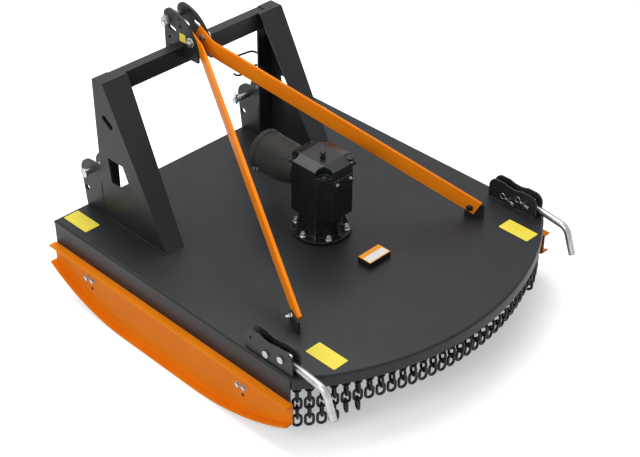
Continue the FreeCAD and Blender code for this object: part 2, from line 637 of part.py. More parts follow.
def make_pto():
    """Input shaft and the bell-shaped guard around it."""
    root = at("0", "box_front - bore_depth + bore_clear", PTO_Z)
    journal = rod("pto_journal", "pto_journal", root, at("0", "box_front + pto_collar", PTO_Z))
    spline = rod("pto_spline", "pto_radius", root, at("0", "pto_front", PTO_Z))
    fuse("pto_shaft", [journal, spline])
    guard = new_body("pto_guard")
    sketch = sketch_on(guard, "YZ_Plane")
    swell = "box_front + guard_swell"
    step = "guard_front - guard_lip"
    slope = "( guard_mouth - guard_step - guard_body ) / ( guard_front - guard_lip - box_front " \
            "- guard_swell )"
    inner_mouth = PTO_Z + " + guard_mouth - guard_step - guard_wall + guard_lip * " + slope
    points = [("box_front", PTO_Z + " + guard_neck - guard_wall"),
              ("box_front", PTO_Z + " + guard_neck"), (swell, PTO_Z + " + guard_body"),
              (step, PTO_Z + " + guard_mouth - guard_step"), (step, PTO_Z + " + guard_mouth"),
              ("guard_front", PTO_Z + " + guard_mouth"), ("guard_front", inner_mouth),
              (swell, PTO_Z + " + guard_body - guard_wall")]
    outline(sketch, points)
    turn = guard.newObject("PartDesign::Revolution", "pto_guard_turn")
    turn.Profile = sketch
    axis = sketch.addGeometry(Part.LineSegment(corner(("0", PTO_Z)), corner(("guard_front", PTO_Z))),
                              True)
    fix(sketch, "DistanceY", (-1, 1, axis, 1), PTO_Z)
    fix(sketch, "DistanceY", (-1, 1, axis, 2), PTO_Z)
    fix(sketch, "DistanceX", (-1, 1, axis, 2), "guard_front")
    turn.ReferenceAxis = (sketch, ["Axis0"])
    guard.Tip = turn
    doc.recompute()


def make_id_plate():
    """Raised blank plate on the deck behind the gearbox."""
    box = doc.addObject("Part::Box", "id_plate")
    box.setExpression("Length", cell("plate_length"))
    box.setExpression("Width", cell("plate_depth"))
    box.setExpression("Height", cell("plate_height"))
    shift(box, "- plate_length / 2", "- plate_back - plate_depth / 2", "deck_height")
    keep(box, "id_plate")


def make_bracket(name, side):
    """Bracket near a rear corner: two plates with a shallow waist and two clevis pins."""
    rear, front = CORNER_Y, CORNER_Y + " + bracket_length"
    high = "deck_height + bracket_height"
    shoulder = "deck_height + bracket_height - bracket_round"
    middle = CORNER_Y + " + bracket_length / 2"
    waist_z = high + " + sqrt( waist_radius ^ 2 - ( waist_length / 2 ) ^ 2 )"
    points = [(front, "deck_height"), (front, shoulder), (front + " - bracket_round", high),
              (middle + " + waist_length / 2", high), (middle + " - waist_length / 2", high),
              (rear + " + bracket_round", high), (rear, shoulder), (rear, "deck_height")]
    arcs = {1: ((front + " - bracket_round", shoulder), "bracket_round", 1),
            3: ((middle, waist_z), "waist_radius", 1),
            5: ((rear + " + bracket_round", shoulder), "bracket_round", 1)}
    spots = {role: (CORNER_Y + " + " + role + "_ahead", "deck_height + " + role + "_rise")
             for role in ("pivot", "rest", "free_pin")}
    holes = [spot + ("clevis_radius + pin_fit",) for spot in spots.values()]
    lines = {"outer": BRACKET_X, "inner": BRACKET_X + " - bracket_gap - bracket_sheet"}
    for place, line in lines.items():
        flat = plate("bracket_%s_%s" % (place, name), "YZ_Plane", points, "bracket_sheet", arcs,
                     holes, reverse=side == RIGHT)
        shift(flat, x=signed(side, line))
    inside = BRACKET_X + " - bracket_gap - 2 * bracket_sheet - clevis_end"
    for role in ("pivot", "rest"):
        outer = at(signed(side, BRACKET_X), *spots[role])
        shank = rod("shank_%s_%s" % (role, name), "clevis_radius", outer,
                    at(signed(side, inside), *spots[role]))
        head = rod("head_%s_%s" % (role, name), "2 * clevis_radius",
                   at(signed(side, BRACKET_X + " + head_length"), *spots[role]), outer)
        fuse("clevis_%s_%s" % (role, name), [shank, head])


def make_support_bar(name, side):
    """Bent round bar with a flat eye that hangs on the pivot pin and sits over the rest pin."""
    x = signed(side, BRACKET_X + " - bracket_sheet - bracket_gap / 2")
    eye = new_body("bar_eye_" + name)
    subparts.remove(eye)
    sketch = sketch_on(eye, "YZ_Plane")
    pivot_y, pivot_z = CORNER_Y + " + pivot_ahead", "deck_height + pivot_rise"
    rest_y, rest_z = CORNER_Y + " + rest_ahead", "deck_height + rest_rise"
    over = rest_z + " + clevis_radius + lug_clear"
    back = rest_y + " - clevis_radius - lug_above"
    high = pivot_z + " + lug_round + lug_nose"
    outline(sketch, [(pivot_y + " + lug_round", pivot_z + " - lug_round"),
                     (pivot_y + " - lug_round", pivot_z + " - lug_round"),
                     (pivot_y + " - lug_round - lug_nose", over), (back, over), (back, high + " + lug_nose"),
                     (pivot_y + " + lug_round", high)])
    ring(sketch, pivot_y, pivot_z, "clevis_radius + fit")
    pad(eye, sketch, "bar_lug")
    eye.Placement = Placement(Vector(size(x) - size("bar_lug") / 2, 0, 0), Rotation())
    root = at(x, rest_y + " - clevis_radius - lug_nose", rest_z)
    bend = at(x, CORNER_Y + " - bend_back", "deck_height + bend_rise")
    tip = at(x, CORNER_Y + " - tip_back", "deck_height - tip_drop")
    pieces = [eye, rod("bar_run_" + name, "bar_radius", root, bend),
              ball("bar_elbow_" + name, "bar_radius", bend),
              rod("bar_tip_" + name, "bar_radius", bend, tip)]
    fuse("support_bar_" + name, pieces)


def ball(label, radius, centre):
    """A sphere that rounds the outside of a bend in a bar."""
    joint = doc.addObject("Part::Sphere", label)
    joint.setExpression("Radius", cell(radius))
    joint.Placement = Placement(centre, Rotation())
    return joint


def make_hook():
    """Rod hook on the right tower that holds the drive shaft when it is off."""
    y = TOWER_Y + " + hook_radius"
    root = "tower_half - offset - foot_flange"
    turn = root + " - hook_reach"
    points = [at(root + " + foot_flange / 2", y, "deck_height + hook_rise"),
              at(turn, y, "deck_height + hook_rise"), at(turn, y, "deck_height + hook_low_rise"),
              at(turn + " - hook_tip", y, "deck_height + hook_low_rise + hook_tip_rise")]
    pieces = [rod("hook_run_%d" % number, "hook_radius", start, end)
              for number, (start, end) in enumerate(zip(points, points[1:]))]
    pieces += [ball("hook_bend_%d" % number, "hook_radius", point)
               for number, point in enumerate(points[1:-1])]
    fuse("shaft_hook", pieces)


def strand(count, flat_first):
    """One hanging chain in the XZ plane: links seen flat and on edge in turn, as one flat solid."""
    wire, pitch, wide = size("wire"), size("link_pitch"), size("link_width")
    links, holes = [], []
    for number in range(count):
        middle = size(RIM_LOW + " - top_link_drop") - pitch * number
        low = middle - pitch / 2 - wire
        high = middle + pitch / 2 + wire if number else size(RIM_LOW + " + hang_bar")
        is_flat = (number % 2 == 0) == flat_first
        broad = wide if is_flat else wire
        links.append(Part.makeBox(broad, wire, high - low, Vector(-broad / 2, -wire / 2, low)))
        if is_flat and number:
            holes.append(Part.makeBox(wide - 2 * wire, wire, pitch,
                                      Vector(wire - wide / 2, -wire / 2, low + wire)))
    return links[0].fuse(links[1:]).cut(holes)


def hang(count, place, flat_first, corners=()):
    """Strands of a curtain: each is placed by its number from the middle, longer ones at the ends."""
    strands = []
    for number in range(count):
        from_end = min(number, count - 1 - number)
        copy = strand(corners[from_end] if from_end < len(corners) else LINKS, flat_first)
        place(copy, number - (count - 1) / 2)
        strands.append(copy)
    return strands


def make_curtains():
    """Chain curtains: strands on a bar behind the front rim and behind the rear rim."""
    half = "( deck_width / 2 - sheet - chain_inset )"
    back = "( sheet + chain_back )"
    pitch, middle = size("chain_pitch"), Vector(0, size(REAR_CENTRE), 0)
    bar = Part.makeBox(2 * size(half), size("chain_back + wire - hang_clear"), size("hang_bar"),
                       at("- " + half, "deck_front - " + back + " - wire", RIM_LOW))
    reach = size(half + " - link_width / 2")
    line = size("deck_front - " + back)
    curtain("front_chains", bar, hang(
        int(2 * reach / pitch) + 1, lambda copy, step: copy.translate(Vector(step * pitch, line, 0)), False))
    radius = size("rear_radius - " + back)
    turn = math.degrees(pitch / radius)

    def place(copy, step):
        copy.translate(Vector(0, middle.y - radius, 0))
        copy.rotate(middle, Vector(0, 0, 1), step * turn)

    ends = math.degrees(math.asin(size(half) / radius))
    arch = Part.makeCylinder(radius + size("chain_back - hang_clear"), size("hang_bar"),
                             Vector(0, 0, 0), Vector(0, 0, 1), 2 * ends)
    arch = arch.cut(Part.makeCylinder(radius - size("wire"), size("hang_bar")))
    arch.rotate(Vector(0, 0, 0), Vector(0, 0, 1), -90 - ends)
    arch.translate(middle + Vector(0, 0, size(RIM_LOW)))
    spread = math.degrees(math.asin(reach / radius))
    curtain("rear_chains", arch, hang(int(2 * spread / turn) + 1, place, True, CORNER_LINKS))


def curtain(label, bar, strands):
    """A bar with its strands as one sub-part."""
    solid = doc.addObject("Part::Feature", label)
    solid.Shape = bar.fuse(strands).removeSplitter()
    keep(solid, label)


def make_rotor():
    """Rotor under the deck: shaft, hub, three-armed carrier and swinging blades."""
    hub_top = "deck_height - hub_drop"
    pieces = [rod("rotor_shaft", "rotor_shaft", at("0", "0", "carrier_z"),
                  at("0", "0", "deck_height + bore_depth - bore_clear")),
              rod("rotor_hub", "hub_radius", at("0", "0", "carrier_z"), at("0", "0", hub_top))]
    low, high = "carrier_z - 2 * blade_gap - blade_thick", "carrier_z + carrier_thick + bolt_nut"
    for number in range(BLADES):
        turn = Rotation(Vector(0, 0, 1), 360 / BLADES * number + 90)
        spot = turn.multVec(at("blade_pin", "0", "0"))
        arm = doc.addObject("Part::Box", "rotor_arm_%d" % number)
        arm.setExpression("Length", cell("blade_pin + arm_half"))
        arm.setExpression("Width", cell("2 * arm_half"))
        arm.setExpression("Height", cell("carrier_thick"))
        arm.Placement = Placement(turn.multVec(at("0", "- arm_half", "carrier_z")), turn)
        bolt = rod("blade_bolt_%d" % number, "blade_bolt", spot + at("0", "0", low),
                   spot + at("0", "0", high))
        head = rod("blade_bolt_head_%d" % number, "2 * blade_bolt",
                   spot + at("0", "0", low + " - blade_bolt"), spot + at("0", "0", low + " + blade_gap / 2"))
        pieces.extend([arm, bolt, head])
        blade = new_body("blade_%d" % (number + 1))
        sketch = sketch_on(blade, "XY_Plane")
        outline(sketch, [("- blade_half", "- blade_half"), ("blade_tip - blade_pin", "- blade_half"),
                         ("blade_tip - blade_pin", "blade_half"), ("- blade_half", "blade_half")])
        ring(sketch, "0", "0", "blade_bolt + fit")
        pad(blade, sketch, "blade_thick")
        blade.Placement = Placement(spot + at("0", "0", "carrier_z - blade_gap - blade_thick"), turn)
    fuse("rotor", pieces)


def check_and_export():
    """Stop at any failed object or bad solid, then write one file for each sub-part."""
    doc.recompute()
    for thing in doc.Objects:
        if "Invalid" in thing.State or "Error" in thing.State:
            raise ValueError(thing.Label + " failed")
    os.makedirs("parts", exist_ok=True)
    for part in subparts:
        if part.Shape.isNull() or not part.Shape.isValid():
            raise ValueError(part.Label + " has no valid shape")
    for part in subparts:
        part.Shape.exportStep("parts/%s.step" % part.Label)


make_deck()
make_rims()
make_crossbar()
make_top_hitch()
for side_name, side_sign in SIDES.items():
    make_side(side_name, side_sign)
    make_tower(side_name, side_sign)
    make_lower_hitch(side_name, side_sign)
    make_stay(side_name, side_sign)
    make_bracket(side_name, side_sign)
    make_support_bar(side_name, side_sign)
make_gearbox()
make_pto()
make_id_plate()
make_hook()
make_curtains()
make_rotor()
check_and_export()
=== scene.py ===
"""Tractor mulcher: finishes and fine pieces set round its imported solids.

The machine is a three-point rotary mulcher: a rounded steel deck on two skids, a headstock
braced by two stays, a bevel gearbox, chain curtains and a rotor with three swinging blades.
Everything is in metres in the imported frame: X to the machine's right, Y forward, Z up.
"""

import logging
import math
from dataclasses import dataclass
from enum import Enum
from typing import Iterable, Sequence

import bmesh
import bpy
from mathutils import Matrix, Vector


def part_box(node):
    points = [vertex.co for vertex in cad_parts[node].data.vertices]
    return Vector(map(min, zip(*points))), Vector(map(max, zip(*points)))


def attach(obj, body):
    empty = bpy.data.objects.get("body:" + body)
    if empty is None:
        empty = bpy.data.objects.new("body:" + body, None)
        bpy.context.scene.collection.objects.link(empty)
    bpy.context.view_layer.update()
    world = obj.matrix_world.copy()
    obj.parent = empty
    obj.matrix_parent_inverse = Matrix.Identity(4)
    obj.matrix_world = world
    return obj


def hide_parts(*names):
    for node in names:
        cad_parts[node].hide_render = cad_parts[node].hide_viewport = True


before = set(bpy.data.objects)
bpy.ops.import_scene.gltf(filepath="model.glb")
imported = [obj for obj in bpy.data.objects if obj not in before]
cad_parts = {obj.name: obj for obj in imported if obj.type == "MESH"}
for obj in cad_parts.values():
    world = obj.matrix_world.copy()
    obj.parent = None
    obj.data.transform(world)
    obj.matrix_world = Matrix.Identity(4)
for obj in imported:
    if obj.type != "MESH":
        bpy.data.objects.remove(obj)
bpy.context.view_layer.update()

LOG = logging.getLogger("mulcher")
MM = 0.001
UP = Vector((0.0, 0.0, 1.0))
FORWARD = Vector((0.0, 1.0, 0.0))
RIGHTWARD = Vector((1.0, 0.0, 0.0))

# Pairs of numbers: the radius and height of a turned form's rings, or two coordinates of a point.
Pairs = tuple[tuple[float, float], ...]

# Parts of a noise's range that a finish uses, of the turn of an edge that gets the painted highlight, and the
# rays of its rounding.
GRAIN_RANGE = (0.3, 0.7)
PATCH_RANGE = (0.35, 0.65)
SPANGLE_RANGE = (0.1, 0.9)
EDGE_RANGE = (0.97, 0.75)
EDGE_RAYS = 4
# Layers of finer noise in the patches, the grain and the rolled streaks.
PATCH_DETAIL = 3.0
GRAIN_DETAIL = 2.0
STREAK_DETAIL = 3.0

# Width and height of each ring of a hexagon with chamfered ends, as shares of the whole.
HEXAGON_RINGS = ((0.9, 0.0), (1.0, 0.12), (1.0, 0.88), (0.88, 1.0))
# A bolt by its thread: thickness and width of its washer, width and height of its head.
WASHER_THICK = 0.2
WASHER_WIDE = 1.05
WASHER_CHAMFERS = (0.3, 0.8)
HEAD_FLATS = 1.6
HEAD_HIGH = 0.65
# A weld's ripples: their distance and their two radii by the bead's own, and its tapered ends.
RIPPLE_STEP = 1.3
RIPPLES = (0.88, 1.08)
BEAD_END = 0.5
BEAD_SMOOTH = 60.0
# The drawn lip of a drilled hole, over its radius, and its floor, in millimetres.
HOLE_LIP = ((0.6, 0.0), (0.5, 0.3), (0.0, 0.5), (-0.8, 0.3))
HOLE_FLOOR = (0.5, 0.15)
# Points round a thin wire or a bead.
THIN_WIRE = 8
# Share of a slab's height that stands square, and of a path's leg that one bend may take.
SLAB_SQUARE = 0.7
LEG_SHARE = 0.48
# How near to upright an axis may be while its cross directions still start from the vertical.
UPRIGHT = 0.9

# The bolt through the mast's cheeks and the stays' upper ends, along and above the machine.
BRACE_BOLT = (667.0, 1098.0)


class Side(Enum):
    """A side of the machine, with the sign of its X."""

    LEFT = -1
    RIGHT = 1

    @property
    def word(self) -> str:
        """The side's word in node names."""
        return self.name.lower()


def linear(code: str) -> tuple[float, float, float, float]:
    """Turns an sRGB hex colour into linear RGBA.

    Args:
        code: Colour such as "#e0760c".

    Returns:
        Linear red, green, blue and an alpha of 1.
    """
    parts = [int(code[i : i + 2], 16) / 255 for i in (1, 3, 5)]
    red, green, blue = [c / 12.92 if c <= 0.04045 else ((c + 0.055) / 1.055) ** 2.4 for c in parts]
    return red, green, blue, 1.0


def add(tree: bpy.types.NodeTree, kind: str, inputs: dict | None = None, **settings: object) -> bpy.types.Node:
    """Adds one shader node with its settings and links.

    Args:
        tree: Node tree that gets the node.
        kind: Blender's type name of the node.
        inputs: Socket name or index, each with a value or with the socket that feeds it.
        **settings: Properties of the node.

    Returns:
        The new node.
    """
    made = tree.nodes.new(kind)
    for name, value in settings.items():
        setattr(made, name, value)
    for socket, value in (inputs or {}).items():
        if isinstance(value, bpy.types.NodeSocket):
            tree.links.new(value, made.inputs[socket])
        else:
            made.inputs[socket].default_value = value
    return made


@dataclass(frozen=True)
class Finish:
    """What every finish shares: two tones in broad patches, a grain in relief and a varied gloss.

    Sizes are in millimetres. The two tones differ as one batch of the real surface does.
    """

    name: str
    colour: str
    second_colour: str
    patch_mm: float
    grain_mm: float
    grain_depth_mm: float
    gloss: tuple[float, float]
    metallic: float = 0.0
    sheen_level: float = 0.5
    edge_mm: float = 1.5

    def material(self) -> bpy.types.Material:
        """Builds the finish as a node material.

        Returns:
            The material.
        """
        made = bpy.data.materials.new(self.name)
        made.use_nodes = True
        tree = made.node_tree
        tree.nodes.clear()
        place = add(tree, "ShaderNodeTexCoord").outputs["Object"]
        shader = add(tree, "ShaderNodeBsdfPrincipled")
        shader.inputs["Metallic"].default_value = self.metallic
        shader.inputs["Specular IOR Level"].default_value = self.sheen_level
        patches = self.patches(tree, place)
        grain = self.grain(tree, place)
        tone = add(
            tree,
            "ShaderNodeMix",
            {0: patches, 6: linear(self.colour), 7: linear(self.second_colour)},
            data_type="RGBA",
        )
        shares = {"From Min": GRAIN_RANGE[0], "From Max": GRAIN_RANGE[1]}
        levels = {"To Min": self.gloss[0], "To Max": self.gloss[1]}
        gloss = add(tree, "ShaderNodeMapRange", {"Value": grain, **shares, **levels})
        rounded = add(tree, "ShaderNodeBevel", {"Radius": self.edge_mm * MM}, samples=EDGE_RAYS)
        depth = {"Distance": self.grain_depth_mm * MM, "Strength": 1.0}
        relief = add(tree, "ShaderNodeBump", {"Height": grain, "Normal": rounded.outputs[0], **depth})
        tree.links.new(self.paint(tree, place, tone.outputs[2]), shader.inputs["Base Color"])
        tree.links.new(gloss.outputs[0], shader.inputs["Roughness"])
        tree.links.new(relief.outputs[0], shader.inputs["Normal"])
        add(tree, "ShaderNodeOutputMaterial", {"Surface": shader.outputs[0]})
        return made

    def patches(self, tree: bpy.types.NodeTree, place: bpy.types.NodeSocket) -> bpy.types.NodeSocket:
        """Broad soft patches of the second tone.

        Args:
            tree: Node tree of the material.
            place: Position on the piece.

        Returns:
            Socket from 0 to 1.
        """
        size = {"Scale": 1 / (self.patch_mm * MM), "Detail": PATCH_DETAIL}
        noise = add(tree, "ShaderNodeTexNoise", {"Vector": place, **size})
        shares = {"From Min": PATCH_RANGE[0], "From Max": PATCH_RANGE[1]}
        return add(tree, "ShaderNodeMapRange", {"Value": noise.outputs[0], **shares}).outputs[0]

    def grain(self, tree: bpy.types.NodeTree, place: bpy.types.NodeSocket) -> bpy.types.NodeSocket:
        """The fine grain that gives the surface its relief.

        Args:
            tree: Node tree of the material.
            place: Position on the piece.

        Returns:
            Socket from 0 to 1.
        """
        size = {"Scale": 1 / (self.grain_mm * MM), "Detail": GRAIN_DETAIL}
        return add(tree, "ShaderNodeTexNoise", {"Vector": place, **size}).outputs[0]

    def paint(
        self, tree: bpy.types.NodeTree, place: bpy.types.NodeSocket, tone: bpy.types.NodeSocket
    ) -> bpy.types.NodeSocket:
        """The colour that reaches the shader; a finish with marks of its own lays them on here.

        Args:
            tree: Node tree of the material.
            place: Position on the piece.
            tone: Colour with its patches.

        Returns:
            Colour socket.
        """
        return tone


@dataclass(frozen=True)
class EdgeHighlightCoat(Finish):
    """A paint or powder skin on metal, with a paler colour laid on its edges as a painted highlight."""

    edge_highlight_colour: str = "#6a6d70"
    edge_highlight_share: float = 0.5
    edge_highlight_width_mm: float = 2.5

    def paint(
        self, tree: bpy.types.NodeTree, place: bpy.types.NodeSocket, tone: bpy.types.NodeSocket
    ) -> bpy.types.NodeSocket:
        """Lays a paler colour over the tone along the edges, as a painted highlight.

        Args:
            tree: Node tree of the material.
            place: Position on the piece.
            tone: Colour with its patches.

        Returns:
            Colour socket.
        """
        soft = add(tree, "ShaderNodeBevel", {"Radius": self.edge_highlight_width_mm * MM}, samples=EDGE_RAYS).outputs[0]
        true = add(tree, "ShaderNodeNewGeometry").outputs["Normal"]
        turn = add(tree, "ShaderNodeVectorMath", {0: soft, 1: true}, operation="DOT_PRODUCT").outputs["Value"]
        shares = {"From Min": EDGE_RANGE[0], "From Max": EDGE_RANGE[1], "To Max": self.edge_highlight_share}
        # The edge mask: where it is high, the paler colour paints a highlight on the rounded edge.
        edge = add(tree, "ShaderNodeMapRange", {"Value": turn, **shares})
        laid = add(
            tree,
            "ShaderNodeMix",
            {0: edge.outputs[0], 6: tone, 7: linear(self.edge_highlight_colour)},
            data_type="RGBA",
        )
        return laid.outputs[2]


@dataclass(frozen=True)
class RolledSteel(Finish):
    """Rolled or ground steel, whose grain runs in long streaks."""

    stretch: float = 0.12

    def grain(self, tree: bpy.types.NodeTree, place: bpy.types.NodeSocket) -> bpy.types.NodeSocket:
        """Streaks drawn out along the rolling direction.

        Args:
            tree: Node tree of the material.
            place: Position on the piece.

        Returns:
            Socket from 0 to 1.
        """
        drawn = add(tree, "ShaderNodeMapping", {"Vector": place, "Scale": (self.stretch, 1.0, 1.0)})
        size = {"Scale": 1 / (self.grain_mm * MM), "Detail": STREAK_DETAIL}
        return add(tree, "ShaderNodeTexNoise", {"Vector": drawn.outputs[0], **size}).outputs[0]


@dataclass(frozen=True)
class ZincPlate(Finish):
    """Zinc plated steel: small spangles of uneven shine under a faint blue passivation."""

    spangle_mm: float = 7.0
    spangle_colour: str = "#8e9197"
    spangle_share: float = 0.35

    def paint(
        self, tree: bpy.types.NodeTree, place: bpy.types.NodeSocket, tone: bpy.types.NodeSocket
    ) -> bpy.types.NodeSocket:
        """Lays the darker spangles over the tone.

        Args:
            tree: Node tree of the material.
            place: Position on the piece.
            tone: Colour with its patches.

        Returns:
            Colour socket.
        """
        cells = add(tree, "ShaderNodeTexVoronoi", {"Vector": place, "Scale": 1 / (self.spangle_mm * MM)})
        shares = {"From Min": SPANGLE_RANGE[0], "From Max": SPANGLE_RANGE[1], "To Max": self.spangle_share}
        share = add(tree, "ShaderNodeMapRange", {"Value": cells.outputs["Distance"], **shares})
        laid = add(
            tree,
            "ShaderNodeMix",
            {0: share.outputs[0], 6: tone, 7: linear(self.spangle_colour)},
            data_type="RGBA",
        )
        return laid.outputs[2]


# Polyester powder, anthracite, satin: broad soft highlights and a faint orange peel. The peel
# of about 1.5 mm is drawn at 6 mm, as coarse as it needs to show.
ANTHRACITE = EdgeHighlightCoat(
    name="anthracite_powder_coat",
    colour="#1d1f21",
    second_colour="#222426",
    patch_mm=240.0,
    grain_mm=6.0,
    grain_depth_mm=0.05,
    gloss=(0.36, 0.48),
    sheen_level=0.26,
    # Paler edge colour: a painted highlight along the edges.
    edge_highlight_colour="#4d5154",
)
# The same powder in signal orange on the skids and stays, with a paler colour on the edges as a painted
# highlight.
ORANGE = EdgeHighlightCoat(
    name="orange_powder_coat",
    colour="#ee8410",
    second_colour="#ea7d0b",
    patch_mm=200.0,
    grain_mm=6.0,
    grain_depth_mm=0.05,
    gloss=(0.4, 0.52),
    sheen_level=0.12,
    edge_highlight_colour="#ffb54e",
)
# Zinc plated and blue passivated steel: pale, slightly blotched metal with short highlights.
ZINC = ZincPlate(
    name="zinc_plated_steel",
    colour="#b9b9b9",
    second_colour="#a5a6a7",
    patch_mm=30.0,
    grain_mm=3.0,
    grain_depth_mm=0.03,
    gloss=(0.24, 0.38),
    metallic=1.0,
)
# Calibrated chain from blackened steel wire: dark oxide skin that shines on the round of the wire.
CHAIN = Finish(
    name="blackened_chain_steel",
    colour="#101112",
    second_colour="#17181a",
    patch_mm=14.0,
    grain_mm=3.0,
    grain_depth_mm=0.05,
    gloss=(0.34, 0.5),
    metallic=0.2,
    sheen_level=0.3,
)
# Sand-cast iron under black enamel: the sand's grain of about 1 mm is drawn at 4 mm to show.
CASTING = EdgeHighlightCoat(
    name="painted_cast_iron",
    colour="#0f1214",
    second_colour="#15181a",
    patch_mm=60.0,
    grain_mm=4.0,
    grain_depth_mm=0.2,
    gloss=(0.22, 0.34),
    sheen_level=0.35,
    edge_mm=4.0,
    # Teal-grey edge colour: a painted highlight along the edges and the rims of the recesses.
    edge_highlight_colour="#6f7b7d",
    edge_highlight_share=0.55,
    edge_highlight_width_mm=3.0,
)
# Injection moulded polypropylene of the drive guard: brown-black, dull, faintly eroded skin.
GUARD = Finish(
    name="moulded_polypropylene",
    colour="#302f2d",
    second_colour="#363532",
    patch_mm=90.0,
    grain_mm=5.0,
    grain_depth_mm=0.06,
    gloss=(0.5, 0.62),
    sheen_level=0.15,
    edge_mm=2.0,
)
# Hardened spring steel of the blades: grey rolled skin, polished in streaks by the crop.
BLADE = RolledSteel(
    name="hardened_blade_steel",
    colour="#76726c",
    second_colour="#5c5954",
    patch_mm=70.0,
    grain_mm=3.0,
    grain_depth_mm=0.1,
    gloss=(0.3, 0.5),
    metallic=0.9,
)
# Cast vinyl film, left blank: flat saturated yellow with a soft sheen.
YELLOW_FILM = Finish(
    name="yellow_vinyl_film",
    colour="#ecd94e",
    second_colour="#e8d447",
    patch_mm=60.0,
    grain_mm=5.0,
    grain_depth_mm=0.02,
    gloss=(0.4, 0.5),
    sheen_level=0.2,
    edge_mm=0.3,
)
# Cast white vinyl film of the blank plate's field: flat and clean.
WHITE_FILM = Finish(
    name="white_vinyl_film",
    colour="#dcdcd9",
    second_colour="#d6d6d3",
    patch_mm=40.0,
    grain_mm=5.0,
    grain_depth_mm=0.02,
    gloss=(0.4, 0.5),
    sheen_level=0.2,
    edge_mm=0.3,
)
# Cast orange vinyl film, the frame and band of the plate: flat, with a soft sheen.
ORANGE_FILM = Finish(
    name="orange_vinyl_film",
    colour="#ec9a2c",
    second_colour="#e89224",
    patch_mm=40.0,
    grain_mm=5.0,
    grain_depth_mm=0.02,
    gloss=(0.4, 0.5),
    sheen_level=0.2,
    edge_mm=0.3,
)
# Phosphated and oiled steel of plugs, breather, wire hook and nuts: near black with a dim shine.
BLACK_STEEL = Finish(
    name="phosphated_steel",
    colour="#131416",
    second_colour="#1a1b1d",
    patch_mm=20.0,
    grain_mm=3.0,
    grain_depth_mm=0.04,
    gloss=(0.32, 0.44),
    metallic=0.2,
    sheen_level=0.3,
)
# Painted shade of drilled holes: a near-black finish on a shallow disc stands in for the unlit bore, with no
# highlight to speak of.
HOLE = Finish(
    name="unlit_drilled_bore",
    colour="#060606",
    second_colour="#090909",
    patch_mm=10.0,
    grain_mm=2.0,
    grain_depth_mm=0.02,
    gloss=(0.7, 0.8),
    sheen_level=0.05,
)


class Palette:
    """Builds each finish once and keeps it."""

    def __init__(self) -> None:
        """Starts with no finish built."""
        self.made: dict[str, bpy.types.Material] = {}

    def get(self, finish: Finish) -> bpy.types.Material:
        """The material of a finish.

        Args:
            finish: The finish.

        Returns:
            Its one material.
        """
        if finish.name not in self.made:
            self.made[finish.name] = finish.material()
        return self.made[finish.name]


PALETTE = Palette()


def dress(finish: Finish, nodes: Iterable[str]) -> None:
    """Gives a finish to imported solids.

    Args:
        finish: The finish.
        nodes: Names of the solids.
    """
    for name in nodes:
        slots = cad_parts[name].data.materials
        slots.clear()
        slots.append(PALETTE.get(finish))
        LOG.info("dressed %s in %s", name, finish.name)


def across(axis: Vector) -> tuple[Vector, Vector]:
    """Two unit directions square to an axis and to each other.

    Args:
        axis: The axis.

    Returns:
        First and second direction, right-handed with the axis.
    """
    helper = UP if abs(axis.normalized().dot(UP)) < UPRIGHT else RIGHTWARD
    first = helper.cross(axis).normalized()
    return first, axis.cross(first).normalized()


@dataclass(frozen=True)
class Fastener:
    """A washer, the hexagon nut or head on it and the thread's end above a nut, in millimetres."""

    washer: Pairs
    washer_sides: int
    seat: float
    flats: float
    height: float
    thread: Pairs = ()
    thread_from: float = 0.0
    thread_sides: int = 20


